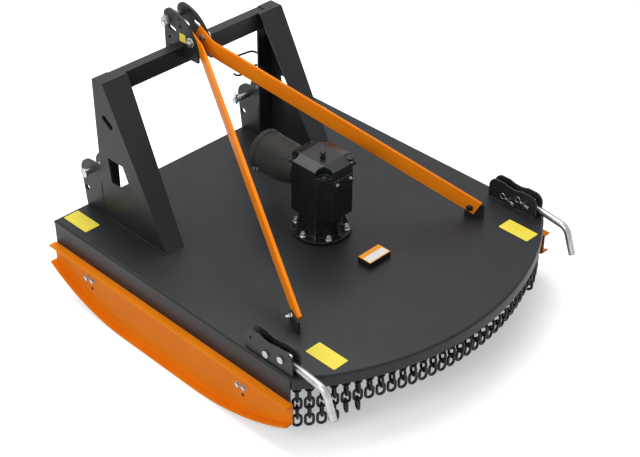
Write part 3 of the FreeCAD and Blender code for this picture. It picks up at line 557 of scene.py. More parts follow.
class Shape:
    """A mesh that grows by rings, turned forms and drawn wire, and ends as one piece."""

    def __init__(self, name: str) -> None:
        """Starts an empty mesh.

        Args:
            name: Name of the piece.
        """
        self.name = name
        self.mesh = bmesh.new()

    def loft(self, rings: Sequence[Sequence[Vector]], closed: bool = False) -> None:
        """Joins rings of equal length by quads, with a face over each open end.

        Args:
            rings: Rings of points, each in the same turning sense.
            closed: Whether the last ring joins the first.
        """
        rows = [[self.mesh.verts.new(point) for point in ring] for ring in rings]
        pairs = list(zip(rows, rows[1:]))
        if closed:
            pairs.append((rows[-1], rows[0]))
        for low, high in pairs:
            count = len(low)
            for i in range(count):
                j = (i + 1) % count
                self.mesh.faces.new((low[i], low[j], high[j], high[i]))
        if not closed:
            self.mesh.faces.new(list(reversed(rows[0])))
            self.mesh.faces.new(rows[-1])

    def turned(self, at: Vector, axis: Vector, profile: Sequence[tuple[float, float]], sides: int = 32) -> None:
        """A form turned about an axis.

        Args:
            at: Point of the axis with height 0.
            axis: Direction of growing height.
            profile: Radius and height of each ring, in millimetres.
            sides: Number of points of a ring.
        """
        along = axis.normalized()
        first, second = across(along)
        rings = []
        for radius, height in profile:
            ring = []
            for i in range(sides):
                turn = math.tau * i / sides
                out = first * math.cos(turn) + second * math.sin(turn)
                ring.append(at + along * height * MM + out * radius * MM)
            rings.append(ring)
        self.loft(rings)

    def hexagon(self, at: Vector, axis: Vector, flats: float, height: float, turn: float = 0.0) -> None:
        """A hexagon head or nut with its two chamfered ends.

        Args:
            at: Middle of the seat.
            axis: Direction away from the seat.
            flats: Size across the flats in millimetres.
            height: Height in millimetres.
            turn: Angle of the first corner in degrees.
        """
        along = axis.normalized()
        first, second = across(along)
        corner = flats / math.sqrt(3)
        rings = []
        for share, level in HEXAGON_RINGS:
            ring = []
            for i in range(6):
                angle = math.radians(60 * i + turn)
                out = first * math.cos(angle) + second * math.sin(angle)
                ring.append(at + along * height * level * MM + out * corner * share * MM)
            rings.append(ring)
        self.loft(rings)

    def wire(
        self,
        path: Sequence[Vector],
        radius: float | Sequence[float],
        closed: bool = False,
        sides: int = THIN_WIRE,
    ) -> None:
        """Round wire drawn along a path.

        Args:
            path: Points of the middle line.
            radius: Radius in millimetres, one for all or one for each point.
            closed: Whether the wire joins its own start.
            sides: Number of points round the wire.
        """
        count = len(path)
        radii = [radius] * count if isinstance(radius, (int, float)) else list(radius)
        rings = []
        last = None
        for i, point in enumerate(path):
            before = path[i - 1] if i or closed else point
            after = path[(i + 1) % count] if i + 1 < count or closed else point
            along = (after - before).normalized()
            if last is None:
                side, _ = across(along)
            else:
                side = (last - along * last.dot(along)).normalized()
            last = side
            other = along.cross(side)
            ring = []
            for k in range(sides):
                turn = math.tau * k / sides
                ring.append(point + (side * math.cos(turn) + other * math.sin(turn)) * radii[i] * MM)
            rings.append(ring)
        self.loft(rings, closed=closed)

    def weld(self, path: Sequence[Vector], radius: float) -> None:
        """The rippled bead of a weld along a path.

        Args:
            path: Points of the seam.
            radius: Radius of the bead in millimetres.
        """
        step = radius * RIPPLE_STEP * MM
        beads = [path[0]]
        for start, end in zip(path, path[1:]):
            parts = max(1, round((end - start).length / step))
            beads += [start.lerp(end, k / parts) for k in range(1, parts + 1)]
        radii = [radius * RIPPLES[k % 2] for k in range(len(beads))]
        radii[0] = radii[-1] = radius * BEAD_END
        self.wire(beads, radii)

    def drilled(self, at: Vector, axis: Vector, radius: float) -> None:
        """The mouth of a drilled hole: a floor inside a low drawn lip, which its near-black finish turns into
        the bore's painted shade.

        Args:
            at: Middle of the hole on the face.
            axis: Direction out of the face.
            radius: Radius in millimetres.
        """
        lip = [(radius + wider, height) for wider, height in HOLE_LIP]
        share, floor = HOLE_FLOOR
        self.turned(at, axis, [*lip, (radius * share, floor)], sides=24)

    def slab(self, outline: Sequence[Vector], rise: Vector, shrink: float = 0.0) -> None:
        """A plate with its upper rim drawn in.

        Args:
            outline: Corners of the lower face.
            rise: Vector from the lower to the upper face.
            shrink: How far the upper face is drawn in, in millimetres.
        """
        middle = sum(outline, Vector()) / len(outline)
        low = list(outline)
        high = [point + rise * SLAB_SQUARE for point in outline]
        top = [point + rise + (middle - point).normalized() * shrink * MM for point in outline]
        self.loft([low, high, top])

    def bolt(self, at: Vector, axis: Vector, thread: float, turn: float = 0.0) -> None:
        """A hexagon bolt's head on its washer.

        Args:
            at: Point on the clamped face.
            axis: Direction out of the face.
            thread: Thread size in millimetres, which gives the other sizes.
            turn: Angle of the first corner in degrees.
        """
        along = axis.normalized()
        washer, wide = thread * WASHER_THICK, thread * WASHER_WIDE
        lower, upper = WASHER_CHAMFERS
        self.turned(at, along, [(thread, 0), (wide, washer * lower), (wide, washer * upper), (thread, washer)])
        self.hexagon(at + along * washer * MM, along, thread * HEAD_FLATS, thread * HEAD_HIGH, turn)

    def fasten(self, kind: Fastener, at: Vector, axis: Vector, turn: float) -> None:
        """A washer with the nut or head on it.

        Args:
            kind: Sizes of the fastener.
            at: Point on the clamped face.
            axis: Unit direction out of the face.
            turn: Angle of the first corner in degrees.
        """
        self.turned(at, axis, kind.washer, kind.washer_sides)
        self.hexagon(at + axis * kind.seat * MM, axis, kind.flats, kind.height, turn)
        if kind.thread:
            self.turned(at + axis * kind.thread_from * MM, axis, kind.thread, kind.thread_sides)

    def finish(
        self,
        finish: Finish,
        body: str,
        slot: str | None = None,
        replaces: Sequence[str] = (),
        smooth: float = 40.0,
    ) -> bpy.types.Object:
        """Turns the mesh into a piece that rides on a body.

        Args:
            finish: Finish of the piece.
            body: Body that it rides on.
            slot: Material slot of the record, if it has one for the piece; not used.
            replaces: Solids that it stands for.
            smooth: Largest angle that is shaded smooth, in degrees.

        Returns:
            The piece.
        """
        bmesh.ops.recalc_face_normals(self.mesh, faces=self.mesh.faces)
        for face in self.mesh.faces:
            face.smooth = True
        for edge in self.mesh.edges:
            if len(edge.link_faces) == 2 and edge.calc_face_angle(0.0) > math.radians(smooth):
                edge.smooth = False
        data = bpy.data.meshes.new(self.name)
        self.mesh.to_mesh(data)
        self.mesh.free()
        data.materials.append(PALETTE.get(finish))
        piece = bpy.data.objects.new(self.name, data)
        bpy.context.scene.collection.objects.link(piece)
        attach(piece, body)
        if replaces:
            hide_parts(*replaces)
        LOG.info("built %s, %d faces", self.name, len(data.polygons))
        return piece


def mirrored(point: Sequence[float], side: Side) -> Vector:
    """A point given for the right side, in millimetres, on the wanted side.

    Args:
        point: X, Y and Z on the right side.
        side: Wanted side.

    Returns:
        The point in metres.
    """
    return Vector((point[0] * side.value, point[1], point[2])) * MM


def arc(
    middle: Vector, first: Vector, second: Vector, radius: float, sweep: tuple[float, float], steps: int
) -> list[Vector]:
    """Points of a round arc in the plane of two directions.

    Args:
        middle: Middle of the arc, in metres.
        first: Direction of angle 0.
        second: Direction of a quarter turn.
        radius: Radius in millimetres.
        sweep: First and last angle in degrees.
        steps: Number of parts.

    Returns:
        One point more than the parts.
    """
    points = []
    for k in range(steps + 1):
        angle = math.radians(sweep[0] + (sweep[1] - sweep[0]) * k / steps)
        points.append(middle + (first * math.cos(angle) + second * math.sin(angle)) * radius * MM)
    return points


def eased(points: Sequence[Vector], reach: float, steps: int = 8) -> list[Vector]:
    """A path whose inner corners are bent round instead of sharp.

    Args:
        points: Ends and corners of the path, in metres.
        reach: Length of each leg that a bend takes, in millimetres.
        steps: Parts of a bend.

    Returns:
        Points of the smooth path.
    """
    path = [points[0]]
    for before, corner, after in zip(points, points[1:], points[2:]):
        cut = min(reach * MM, (corner - before).length * LEG_SHARE, (after - corner).length * LEG_SHARE)
        start = corner + (before - corner).normalized() * cut
        end = corner + (after - corner).normalized() * cut
        for k in range(steps + 1):
            t = k / steps
            path.append(start * (1 - t) ** 2 + corner * 2 * t * (1 - t) + end * t * t)
    path.append(points[-1])
    return path


def rounded_rectangle(
    middle: Vector, half_a: Vector, half_b: Vector, radius: float, steps: int = 4
) -> list[Vector]:
    """Corners of a rectangle with rounded corners.

    Args:
        middle: Middle of the rectangle, in metres.
        half_a: Half of the first side, in millimetres.
        half_b: Half of the second side, in millimetres.
        radius: Corner radius in millimetres.
        steps: Parts of a quarter turn.

    Returns:
        Points in order round the rectangle, in metres.
    """
    unit_a, unit_b = half_a.normalized(), half_b.normalized()
    points = []
    for sign_a, sign_b, start in ((1, 1, 0), (-1, 1, 90), (-1, -1, 180), (1, -1, 270)):
        centre = (half_a - unit_a * radius) * sign_a + (half_b - unit_b * radius) * sign_b
        for k in range(steps + 1):
            angle = math.radians(start + 90 * k / steps)
            out = unit_a * math.cos(angle) + unit_b * math.sin(angle)
            points.append(middle + (centre + out * radius) * MM)
    return points


@dataclass
class Deck:
    """The deck with its rims and skirts, its blank labels and its plate. Sizes are in millimetres."""

    label: tuple[float, float] = (80.0, 160.0)
    label_corner: float = 6.0
    label_places: Pairs = ((-718, 794), (718, 794), (-598, -625), (611, -625))
    film: float = 0.5
    plate_inset: float = 0.5
    plate_corner: float = 3.0
    plate_frame: float = 5.0
    plate_band: float = 26.0
    field_corner: float = 2.0
    seam: float = 3.0
    seam_stand: float = 1.0

    def build(self) -> None:
        """Builds the deck's pieces."""
        dress(ANTHRACITE, ["deck_top", "front_rim", "rear_rim", "side_skirt_left", "side_skirt_right"])
        dress(BLACK_STEEL, ["id_plate"])
        self.labels()
        self.plate()
        self.seams()

    def labels(self) -> None:
        """Four blank yellow films at the deck's corners."""
        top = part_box("deck_top")[1].z
        across_half, along_half = RIGHTWARD * self.label[0] / 2, FORWARD * self.label[1] / 2
        for number, (x, y) in enumerate(self.label_places, 1):
            shape = Shape(f"deck_label_{number}")
            middle = Vector((x * MM, y * MM, top))
            outline = rounded_rectangle(middle, across_half, along_half, self.label_corner)
            shape.slab(outline, UP * self.film * MM)
            shape.finish(YELLOW_FILM, "frame")

    def plate(self) -> None:
        """The plate's orange film with a wide band in front, and the blank white field on it."""
        low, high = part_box("id_plate")
        half = (high - low) / 2 / MM
        ground = Vector(((low.x + high.x) / 2, (low.y + high.y) / 2, high.z))
        across_half = RIGHTWARD * (half.x - self.plate_inset)
        along_half = FORWARD * (half.y - self.plate_inset)
        orange = Shape("plate_frame_film")
        orange.slab(rounded_rectangle(ground, across_half, along_half, self.plate_corner), UP * self.film * MM)
        orange.finish(ORANGE_FILM, "frame")
        across_half = RIGHTWARD * (half.x - self.plate_frame)
        along_half = FORWARD * (half.y - (self.plate_frame + self.plate_band) / 2)
        field = ground + FORWARD * (self.plate_frame - self.plate_band) / 2 * MM + UP * self.film * MM
        white = Shape("plate_field_film")
        white.slab(rounded_rectangle(field, across_half, along_half, self.field_corner), UP * self.film * MM)
        white.finish(WHITE_FILM, "frame")

    def seams(self) -> None:
        """Fillet welds outside the towers' feet and between each pair of bracket plates."""
        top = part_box("deck_top")[1].z
        shape = Shape("deck_weld_seams")
        names = [f"tower_{side.word}" for side in Side]
        names += [f"bracket_{place}_{side.word}" for side in Side for place in ("inner", "outer")]
        for name in names:
            low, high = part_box(name)
            to_right = name.endswith("left") != name.startswith("tower")
            x = high.x + self.seam_stand * MM if to_right else low.x - self.seam_stand * MM
            ends = low.y + self.seam * MM, high.y - self.seam * MM
            shape.weld([Vector((x, y, top)) for y in ends], self.seam)
        shape.finish(ANTHRACITE, "frame", "anthracite_paint", smooth=BEAD_SMOOTH)


@dataclass
class Skids:
    """The two skids with the bolts that hold them to the skirts. Sizes are in millimetres."""

    thread: float = 14.0
    sheet: float = 6.0
    bolt_turn: float = 20.0
    places: Pairs = ((670, 168), (628, 173), (-327, 164), (-362, 168))
    holes: Pairs = ((638, 125), (-352, 123))
    hole_radius: float = 7.0

    def build(self) -> None:
        """Builds both skids' pieces."""
        dress(ORANGE, ["skid_left", "skid_right"])
        for side in Side:
            low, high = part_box(f"skid_{side.word}")
            face = min(abs(low.x), abs(high.x)) / MM + self.sheet
            bolts = Shape(f"skid_bolts_{side.word}")
            holes = Shape(f"skid_holes_{side.word}")
            outward = RIGHTWARD * side.value
            for y, z in self.places:
                bolts.bolt(mirrored((face, y, z), side), outward, self.thread, self.bolt_turn)
            for y, z in self.holes:
                holes.drilled(mirrored((face, y, z), side), outward, self.hole_radius)
            bolts.finish(ZINC, "frame", "zinc_steel")
            # The near-black hole finish is painted shade for the bores.
            holes.finish(HOLE, "frame")


@dataclass
class ChainCurtains:
    """The chain curtains at the rear arc and at the front edge, each strand from welded links.

    Sizes are in millimetres and turns in degrees.
    """

    wire: float = 12.5
    pitch: float = 44.0
    width: float = 46.0
    top_wire: float = 10.0
    top_width: float = 40.0
    top_link: float = 304.5
    wire_sides: int = 10
    bend_steps: int = 10
    rear_middle: float = 348.0
    rear_radius: float = 1229.0
    rear_strands: int = 34
    rear_step: float = 2.308
    front_line: float = 864.0
    front_pitch: float = 49.5
    front_strands: int = 31
    corner_links: tuple[int, ...] = (5, 5, 5, 5, 4, 4)
    links: int = 3
    bar_wide: tuple[float, float] = (-10.0, 21.7)
    bar_high: tuple[float, float] = (315.0, 327.0)
    bar_overhang: float = 1.0
    bar_steps: int = 60

    def build(self) -> None:
        """Builds both curtains in place of their plainer solids."""
        self.rear()
        self.front()

    def link(self, shape: Shape, middle: Vector, broad: Vector, wire: float, width: float) -> None:
        """One welded link.

        Args:
            shape: Mesh that gets it.
            middle: Middle of the link.
            broad: Direction of its width.
            wire: Thickness of its wire in millimetres.
            width: Width over the link in millimetres.
        """
        bend = (width - wire) / 2
        straight = (self.pitch + wire) / 2 - bend
        path = []
        for end in (1, -1):
            for k in range(self.bend_steps + 1):
                angle = math.pi * k / self.bend_steps
                sideways = math.cos(angle) * bend * end
                level = (straight + math.sin(angle) * bend) * end
                path.append(middle + broad * sideways * MM + UP * level * MM)
        shape.wire(path, wire / 2, closed=True, sides=self.wire_sides)

    def strand(self, shape: Shape, top: Vector, outward: Vector, links: int, flat_first: bool) -> None:
        """One hanging strand.

        Args:
            shape: Mesh that gets it.
            top: Middle of the highest link.
            outward: Direction out of the curtain.
            links: Number of links.
            flat_first: Whether the highest link lies flat in the curtain.
        """
        along = UP.cross(outward)
        for k in range(links):
            broad = along if (k % 2 == 0) == flat_first else outward
            wire, width = (self.wire, self.width) if k else (self.top_wire, self.top_width)
            self.link(shape, top - UP * self.pitch * k * MM, broad, wire, width)

    def rear(self) -> None:
        """The curtain behind the rear rim: its corners carry longer strands than its middle."""
        shape = Shape("rear_chain_links")
        middle = FORWARD * self.rear_middle * MM
        last = self.rear_strands - 1
        ends = self.rear_step * last / 2
        for i in range(self.rear_strands):
            outward = self.outward(-ends + self.rear_step * i)
            top = middle + UP * self.top_link * MM + outward * self.rear_radius * MM
            from_end = min(i, last - i)
            links = self.corner_links[from_end] if from_end < len(self.corner_links) else self.links
            self.strand(shape, top, outward, links, True)
        reach = ends + self.bar_overhang
        path = []
        for k in range(self.bar_steps + 1):
            outward = self.outward(-reach + 2 * reach * k / self.bar_steps)
            path.append((middle + outward * self.rear_radius * MM, outward))
        self.bar(shape, path)
        shape.finish(CHAIN, "frame", "chain_steel", replaces=["rear_chains"])

    def outward(self, turn: float) -> Vector:
        """Direction out of the rear curtain.

        Args:
            turn: Angle from straight back, in degrees.

        Returns:
            Unit direction.
        """
        return Vector((math.sin(math.radians(turn)), -math.cos(math.radians(turn)), 0.0))

    def front(self) -> None:
        """The curtain behind the front rim."""
        shape = Shape("front_chain_links")
        reach = self.front_pitch * (self.front_strands - 1) / 2
        for i in range(self.front_strands):
            top = Vector((-reach + self.front_pitch * i, self.front_line, self.top_link)) * MM
            self.strand(shape, top, FORWARD, self.links, False)
        low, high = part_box("front_chains")
        self.bar(shape, [(Vector((x, self.front_line * MM, 0)), FORWARD) for x in (low.x, high.x)])
        shape.finish(CHAIN, "frame", "chain_steel", replaces=["front_chains"])

    def bar(self, shape: Shape, path: Sequence[tuple[Vector, Vector]]) -> None:
        """The flat bar that the top links are welded to.

        Args:
            shape: Mesh that gets it.
            path: Points of the strands' line with the direction out of the curtain.
        """
        rings = []
        for point, outward in path:
            near, far = (point + outward * reach * MM for reach in self.bar_wide)
            low, high = (UP * level * MM for level in self.bar_high)
            rings.append([near + low, far + low, far + high, near + high])
        shape.loft(rings)


@dataclass
class Headstock:
    """The two towers, their crossbar, the lower hitch and the mast. Sizes are in millimetres."""

    cap_rise: float = 5.0
    cap_rear: float = 84.0
    cap_lap: float = 20.0
    cap_draw: float = 1.5
    film_place: tuple[float, float] = (720.0, 1100.5)
    film_half: float = 20.0
    film_rise: float = 0.5
    film_corner: float = 2.0
    stay_end: float = 8.0
    brace_head: Fastener = Fastener(
        washer=((22, 0), (23, 0.8), (23, 3.0), (22, 3.8)),
        washer_sides=36,
        seat=3.8,
        flats=30.0,
        height=13.0,
        thread=((10.0, 0), (9.6, 2.0), (7.5, 3.5)),
        thread_from=16.0,
        thread_sides=24,
    )
    brace_head_turn: float = 14.0
    brace_nut: Fastener = Fastener(
        washer=((15, 0), (16, 0.6), (16, 2.4), (15, 3.0)), washer_sides=32, seat=3.0, flats=24.0, height=9.0
    )
    brace_nut_turn: float = 8.0
    lock_holes: tuple[tuple[float, float, float], ...] = ((811, 1032, 6.0), (738, 1184, 5.0))
    pin_head: Pairs = (
        (15, 0), (17, 1.5), (17, 5), (12, 7), (9, 9), (9, 12), (12, 14), (13, 17), (10, 20), (5, 21.5),
    )
    pull_ring_place: tuple[float, float] = (10.5, 12.0)
    pull_ring: tuple[float, float, int] = (17.0, 2.2, 27)
    pull_ring_lean: float = 0.2
    pull_ring_swing: float = 0.12
    cross_pin: Pairs = ((2.5, 0), (4, 2), (4, 44), (2.5, 46))
    cross_pin_inset: float = 6.0
    cross_pin_rise: float = 24.0
    cross_ring: tuple[float, float, int] = (19.0, 1.6, 25)
    cross_ring_rise: float = 6.0
    cross_ring_stand: float = 4.0
    ring_sweep: tuple[float, float] = (0, 350)
    hook_high: Pairs = (
        (339, 827), (316, 844), (289, 850), (262, 852), (226, 855), (176, 871), (120, 893), (76, 907),
        (58, 914),
    )
    hook_low: Pairs = (
        (339, 761), (318, 766), (298, 764), (270, 755), (242, 747), (222, 751), (204, 759), (194, 772),
    )
    hook_radius: float = 5.0
    hook_bend: float = 12.0
    mast_seam: float = 3.0
    mast_seam_stand: float = 1.0
    mast_seam_span: tuple[float, float] = (48.0, 46.0)
    cheek_seam: float = 2.5
    cheek_seam_start: tuple[float, float] = (2.0, 4.0)
    cheek_seam_short: float = 90.0
    linch_inset: float = 16.0
    linch_drop: float = 26.0
    linch_pin: Pairs = ((3.0, 0), (4.5, 3), (4.5, 44), (8.0, 46), (8.0, 56), (5.0, 58))
    linch_ring: tuple[float, float, int] = (24.0, 1.8, 28)
    linch_ring_sweep: tuple[float, float] = (0, 348)
    linch_ring_offset: float = 6.0

    def build(self) -> None:
        """Builds the headstock's pieces."""
        cheeks = [f"lower_cheek_{place}_{side.word}" for side in Side for place in ("inner", "outer")]
        mast = ["top_cheek_left", "top_cheek_right"]
        dress(ANTHRACITE, ["tower_left", "tower_right", "crossbar", *cheeks, *mast])
        dress(ZINC, ["lower_pin_left", "lower_pin_right", "top_pin"])
        self.film()
        self.caps()
        self.brace_bolts()
        self.top_pin_fittings()
        self.hook()
        self.seams()
        for side in Side:
            self.linch(side)

    def caps(self) -> None:
        """The welded cap over each tower's top, which closes it round the crossbar's end."""
        bar_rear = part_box("crossbar")[0].y
        lap = bar_rear - self.cap_lap * MM
        for side in Side:
            low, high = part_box(f"tower_{side.word}")
            outer, inner = (low.x, high.x) if side is Side.LEFT else (high.x, low.x)
            step = outer + (inner - outer) * self.cap_rear / ((high.x - low.x) / MM)
            corners = [(outer, high.y), (step, high.y), (step, bar_rear)]
            corners += [(inner, bar_rear), (inner, lap), (outer, lap)]
            shape = Shape(f"tower_cap_{side.word}")
            shape.slab([Vector((x, y, high.z)) for x, y in corners], UP * self.cap_rise * MM, self.cap_draw)
            shape.finish(ANTHRACITE, "frame", "anthracite_paint")

    def film(self) -> None:
        """The blank yellow film on the mast's left cheek."""
        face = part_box("top_cheek_left")[0].x
        middle = Vector((face, self.film_place[0] * MM, self.film_place[1] * MM))
        shape = Shape("mast_label")
        outline = rounded_rectangle(middle, FORWARD * self.film_half, UP * self.film_half, self.film_corner)
        shape.slab(outline, RIGHTWARD * -self.film_rise * MM)
        shape.finish(YELLOW_FILM, "frame")

    def brace_bolts(self) -> None:
        """The bolts that clamp each stay to its cheek, head outside and nut inside."""
        y, z = (value * MM for value in BRACE_BOLT)
        shape = Shape("brace_bolts")
        left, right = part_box("top_cheek_left"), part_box("top_cheek_right")
        stay = self.stay_end * MM
        for outside, inside, out in (
            (left[0].x, left[1].x + stay, -RIGHTWARD),
            (right[1].x, right[0].x - stay, RIGHTWARD),
        ):
            shape.fasten(self.brace_head, Vector((outside, y, z)), out, self.brace_head_turn)
            shape.fasten(self.brace_nut, Vector((inside, y, z)), -out, self.brace_nut_turn)
        shape.finish(ZINC, "frame", "zinc_steel")
        holes = Shape("mast_holes")
        for hole_y, hole_z, radius in self.lock_holes:
            holes.drilled(Vector((left[0].x, hole_y * MM, hole_z * MM)), -RIGHTWARD, radius)
        # The near-black hole finish is painted shade for the bores.
        holes.finish(HOLE, "frame")

    def top_pin_fittings(self) -> None:
        """The turned head and pull ring at the top pin's left end, and the ring pin at its right end."""
        low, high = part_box("top_pin")
        middle = Vector((low.x, (low.y + high.y) / 2, (low.z + high.z) / 2))
        shape = Shape("top_pin_fittings")
        shape.turned(middle, -RIGHTWARD, self.pin_head)
        outward, drop = self.pull_ring_place
        hang = middle - RIGHTWARD * outward * MM - UP * drop * MM
        radius, wire, steps = self.pull_ring
        first = (FORWARD - UP * self.pull_ring_lean).normalized()
        second = (-UP - FORWARD * self.pull_ring_lean).normalized()
        ring = arc(hang, first, second, radius, self.ring_sweep, steps)
        swung = [point - RIGHTWARD * (self.pull_ring_swing * (middle.z - point.z)) for point in ring]
        shape.wire(swung, wire, closed=True)
        end = Vector((high.x - self.cross_pin_inset * MM, middle.y, middle.z))
        shape.turned(end + UP * self.cross_pin_rise * MM, -UP, self.cross_pin, sides=14)
        centre = end + UP * self.cross_ring_rise * MM + RIGHTWARD * self.cross_ring_stand * MM
        radius, wire, steps = self.cross_ring
        shape.wire(arc(centre, UP, FORWARD, radius, self.ring_sweep, steps), wire, closed=True)
        shape.finish(ZINC, "frame", "zinc_steel")

    def hook(self) -> None:
        """The bent wire hook on the right tower, in place of its plainer solid."""
        low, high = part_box("shaft_hook")
        plane = (low.y + high.y) / 2
        shape = Shape("shaft_hook_wire")
        for run in (self.hook_high, self.hook_low):
            points = [Vector((x * MM, plane, z * MM)) for x, z in run]
            shape.wire(eased(points, self.hook_bend, steps=4), self.hook_radius, sides=12)
        shape.finish(BLACK_STEEL, "frame", replaces=["shaft_hook"])

    def seams(self) -> None:
        """Welds that join the mast's cheeks to the crossbar and the lower cheeks to the towers."""
        shape = Shape("headstock_weld_seams")
        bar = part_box("crossbar")[1]
        back, length = self.mast_seam_span
        inset, rise = self.cheek_seam_start
        stand = self.mast_seam_stand * MM
        for side in Side:
            low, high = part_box(f"top_cheek_{side.word}")
            for x in (low.x - stand, high.x + stand):
                start = Vector((x, bar.y - back * MM, bar.z + stand))
                shape.weld([start, start + FORWARD * length * MM], self.mast_seam)
            for place in ("inner", "outer"):
                low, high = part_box(f"lower_cheek_{place}_{side.word}")
                outside = low.x if (low.x + high.x) / 2 < self.tower_middle(side) else high.x
                start = Vector((outside, low.y + inset * MM, low.z + rise * MM))
                length_up = high.z - low.z - self.cheek_seam_short * MM
                shape.weld([start, start + UP * length_up], self.cheek_seam)
        shape.finish(ANTHRACITE, "frame", "anthracite_paint", smooth=BEAD_SMOOTH)

    def tower_middle(self, side: Side) -> float:
        """Middle of a tower across the machine.

        Args:
            side: Side of the machine.

        Returns:
            X in metres.
        """
        low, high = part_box(f"tower_{side.word}")
        return (low.x + high.x) / 2

    def linch(self, side: Side) -> None:
        """The linch pin with its spring ring through a lower pin's inner end.

        Args:
            side: Side of the machine.
        """
        low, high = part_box(f"lower_pin_{side.word}")
        inset = self.linch_inset * MM
        inner = high.x - inset if side is Side.LEFT else low.x + inset
        middle = Vector((inner, (low.y + high.y) / 2, (low.z + high.z) / 2))
        shape = Shape(f"linch_pin_{side.word}")
        shape.turned(middle - UP * self.linch_drop * MM, UP, self.linch_pin, sides=16)
        radius, wire, steps = self.linch_ring
        centre = middle + (UP + RIGHTWARD) * self.linch_ring_offset * MM
        ring = arc(centre, FORWARD, UP, radius, self.linch_ring_sweep, steps)
        shape.wire(ring, wire, closed=True)
        shape.finish(ZINC, "frame", "zinc_steel")


@dataclass
class Stays:
    """The two stays from the mast to the deck, with their lugs and bolts. Sizes are in millimetres.

    Each is a flat oval-edged tube on edge. Its upper end is pressed flat against the mast's cheek,
    and from the knee it runs down and outward to its lug.
    """

    sheet: float = 8.0
    tube: float = 15.3
    depth: float = 70.0
    edge: float = 2.0
    end_ahead: float = 35.0
    knee_back: float = 57.0
    foot_side: float = 560.0
    foot_ahead: float = 192.0
    foot_rise: float = 48.0
    bend_reach: float = 30.0
    bend_steps: int = 10
    round_share: float = 0.035
    crease: float = 35.0
    swell: tuple[float, ...] = (0, 0, 0, 0, 0, 0, 0.08, 0.16, 0.28, 0.42, 0.56, 0.7, 1.0)
    bolt_up: float = 40.0
    bolt_rise: float = 50.0
    lug_sheet: float = 10.0
    dome: Pairs = ((15, 0), (16, 1), (16, 4), (13.5, 6.5), (9, 8), (3, 8.6))
    head: Fastener = Fastener(
        washer=((15, 0), (15.5, 0.8), (15.5, 2.6), (14.5, 3.4)),
        washer_sides=28,
        seat=3.4,
        flats=24.0,
        height=8.0,
    )
    head_turn: float = 10.0
    nut: Fastener = Fastener(
        washer=((14.5, 0), (15, 0.8), (15, 2.6), (14.5, 3.2)),
        washer_sides=28,
        seat=3.2,
        flats=24.0,
        height=12.0,
        thread=((8, 0), (8, 10), (7.2, 12)),
        thread_from=15.0,
    )
    nut_turn: float = 20.0

    def build(self) -> None:
        """Builds the stays' pieces."""
        dress(ANTHRACITE, ["stay_lug_left", "stay_lug_right"])
        for side in Side:
            self.stay(side)
            self.foot_bolt(side)

    def line(self, side: Side) -> tuple[Vector, Vector, Vector]:
        """The stay's upper end, knee and foot on its middle line.

        Args:
            side: Side of the machine.

        Returns:
            The three points in metres.
        """
        low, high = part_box(f"top_cheek_{side.word}")
        half = self.sheet / 2 * MM
        x = high.x + half if side is Side.LEFT else low.x - half
        deck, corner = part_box("deck_top")[1].z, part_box(f"side_skirt_{side.word}")[0].y
        bolt = Vector((x, BRACE_BOLT[0] * MM, BRACE_BOLT[1] * MM))
        foot_x = self.foot_side * side.value * MM
        foot = Vector((foot_x, corner + self.foot_ahead * MM, deck + self.foot_rise * MM))
        slope = Vector((0.0, 1.0, (bolt.z - foot.z) / (bolt.y - foot.y)))
        return bolt + slope * self.end_ahead * MM, bolt - slope * self.knee_back * MM, foot

    def stay(self, side: Side) -> None:
        """The bent tube with its pressed end, in place of its plainer solid.

        Args:
            side: Side of the machine.
        """
        tip, knee, foot = self.line(side)
        path = eased([tip, knee, foot], self.bend_reach, self.bend_steps)
        path.insert(-1, path[-2].lerp(foot, self.round_share))
        rings = []
        for i, point in enumerate(path):
            before, after = path[max(i - 1, 0)], path[min(i + 1, len(path) - 1)]
            along = (after - before).normalized()
            across_bar = UP.cross(along).normalized()
            share = self.swell[min(i, len(self.swell) - 1)]
            half = across_bar * (self.sheet + (self.tube - self.sheet) * share) / 2
            depth = along.cross(across_bar) * self.depth / 2
            rings.append(rounded_rectangle(point, half, depth, self.edge, steps=3))
        shape = Shape(f"stay_bar_{side.word}")
        shape.loft(rings)
        shape.finish(ORANGE, "frame", "orange_paint", replaces=[f"stay_{side.word}"], smooth=self.crease)

    def foot_bolt(self, side: Side) -> None:
        """The bolt through a stay's foot and its lug, with the nut on the lug's outside.

        Args:
            side: Side of the machine.
        """
        _, knee, foot = self.line(side)
        along = (foot - knee).normalized()
        out = Vector((along.y, -along.x, 0.0)).normalized()
        out = out if out.x * side.value > 0 else -out
        seat = foot - along * self.bolt_up * MM
        seat.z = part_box("deck_top")[1].z + self.bolt_rise * MM
        inner = seat - out * self.tube / 2 * MM
        bolt = Shape(f"stay_bolt_{side.word}")
        if side is Side.RIGHT:
            bolt.turned(inner, -out, self.dome, sides=28)
        else:
            bolt.fasten(self.head, inner, -out, self.head_turn)
        bolt.fasten(self.nut, seat + out * (self.tube / 2 + self.lug_sheet) * MM, out, self.nut_turn)
        bolt.finish(BLACK_STEEL if side is Side.RIGHT else ZINC, "frame", "zinc_steel")


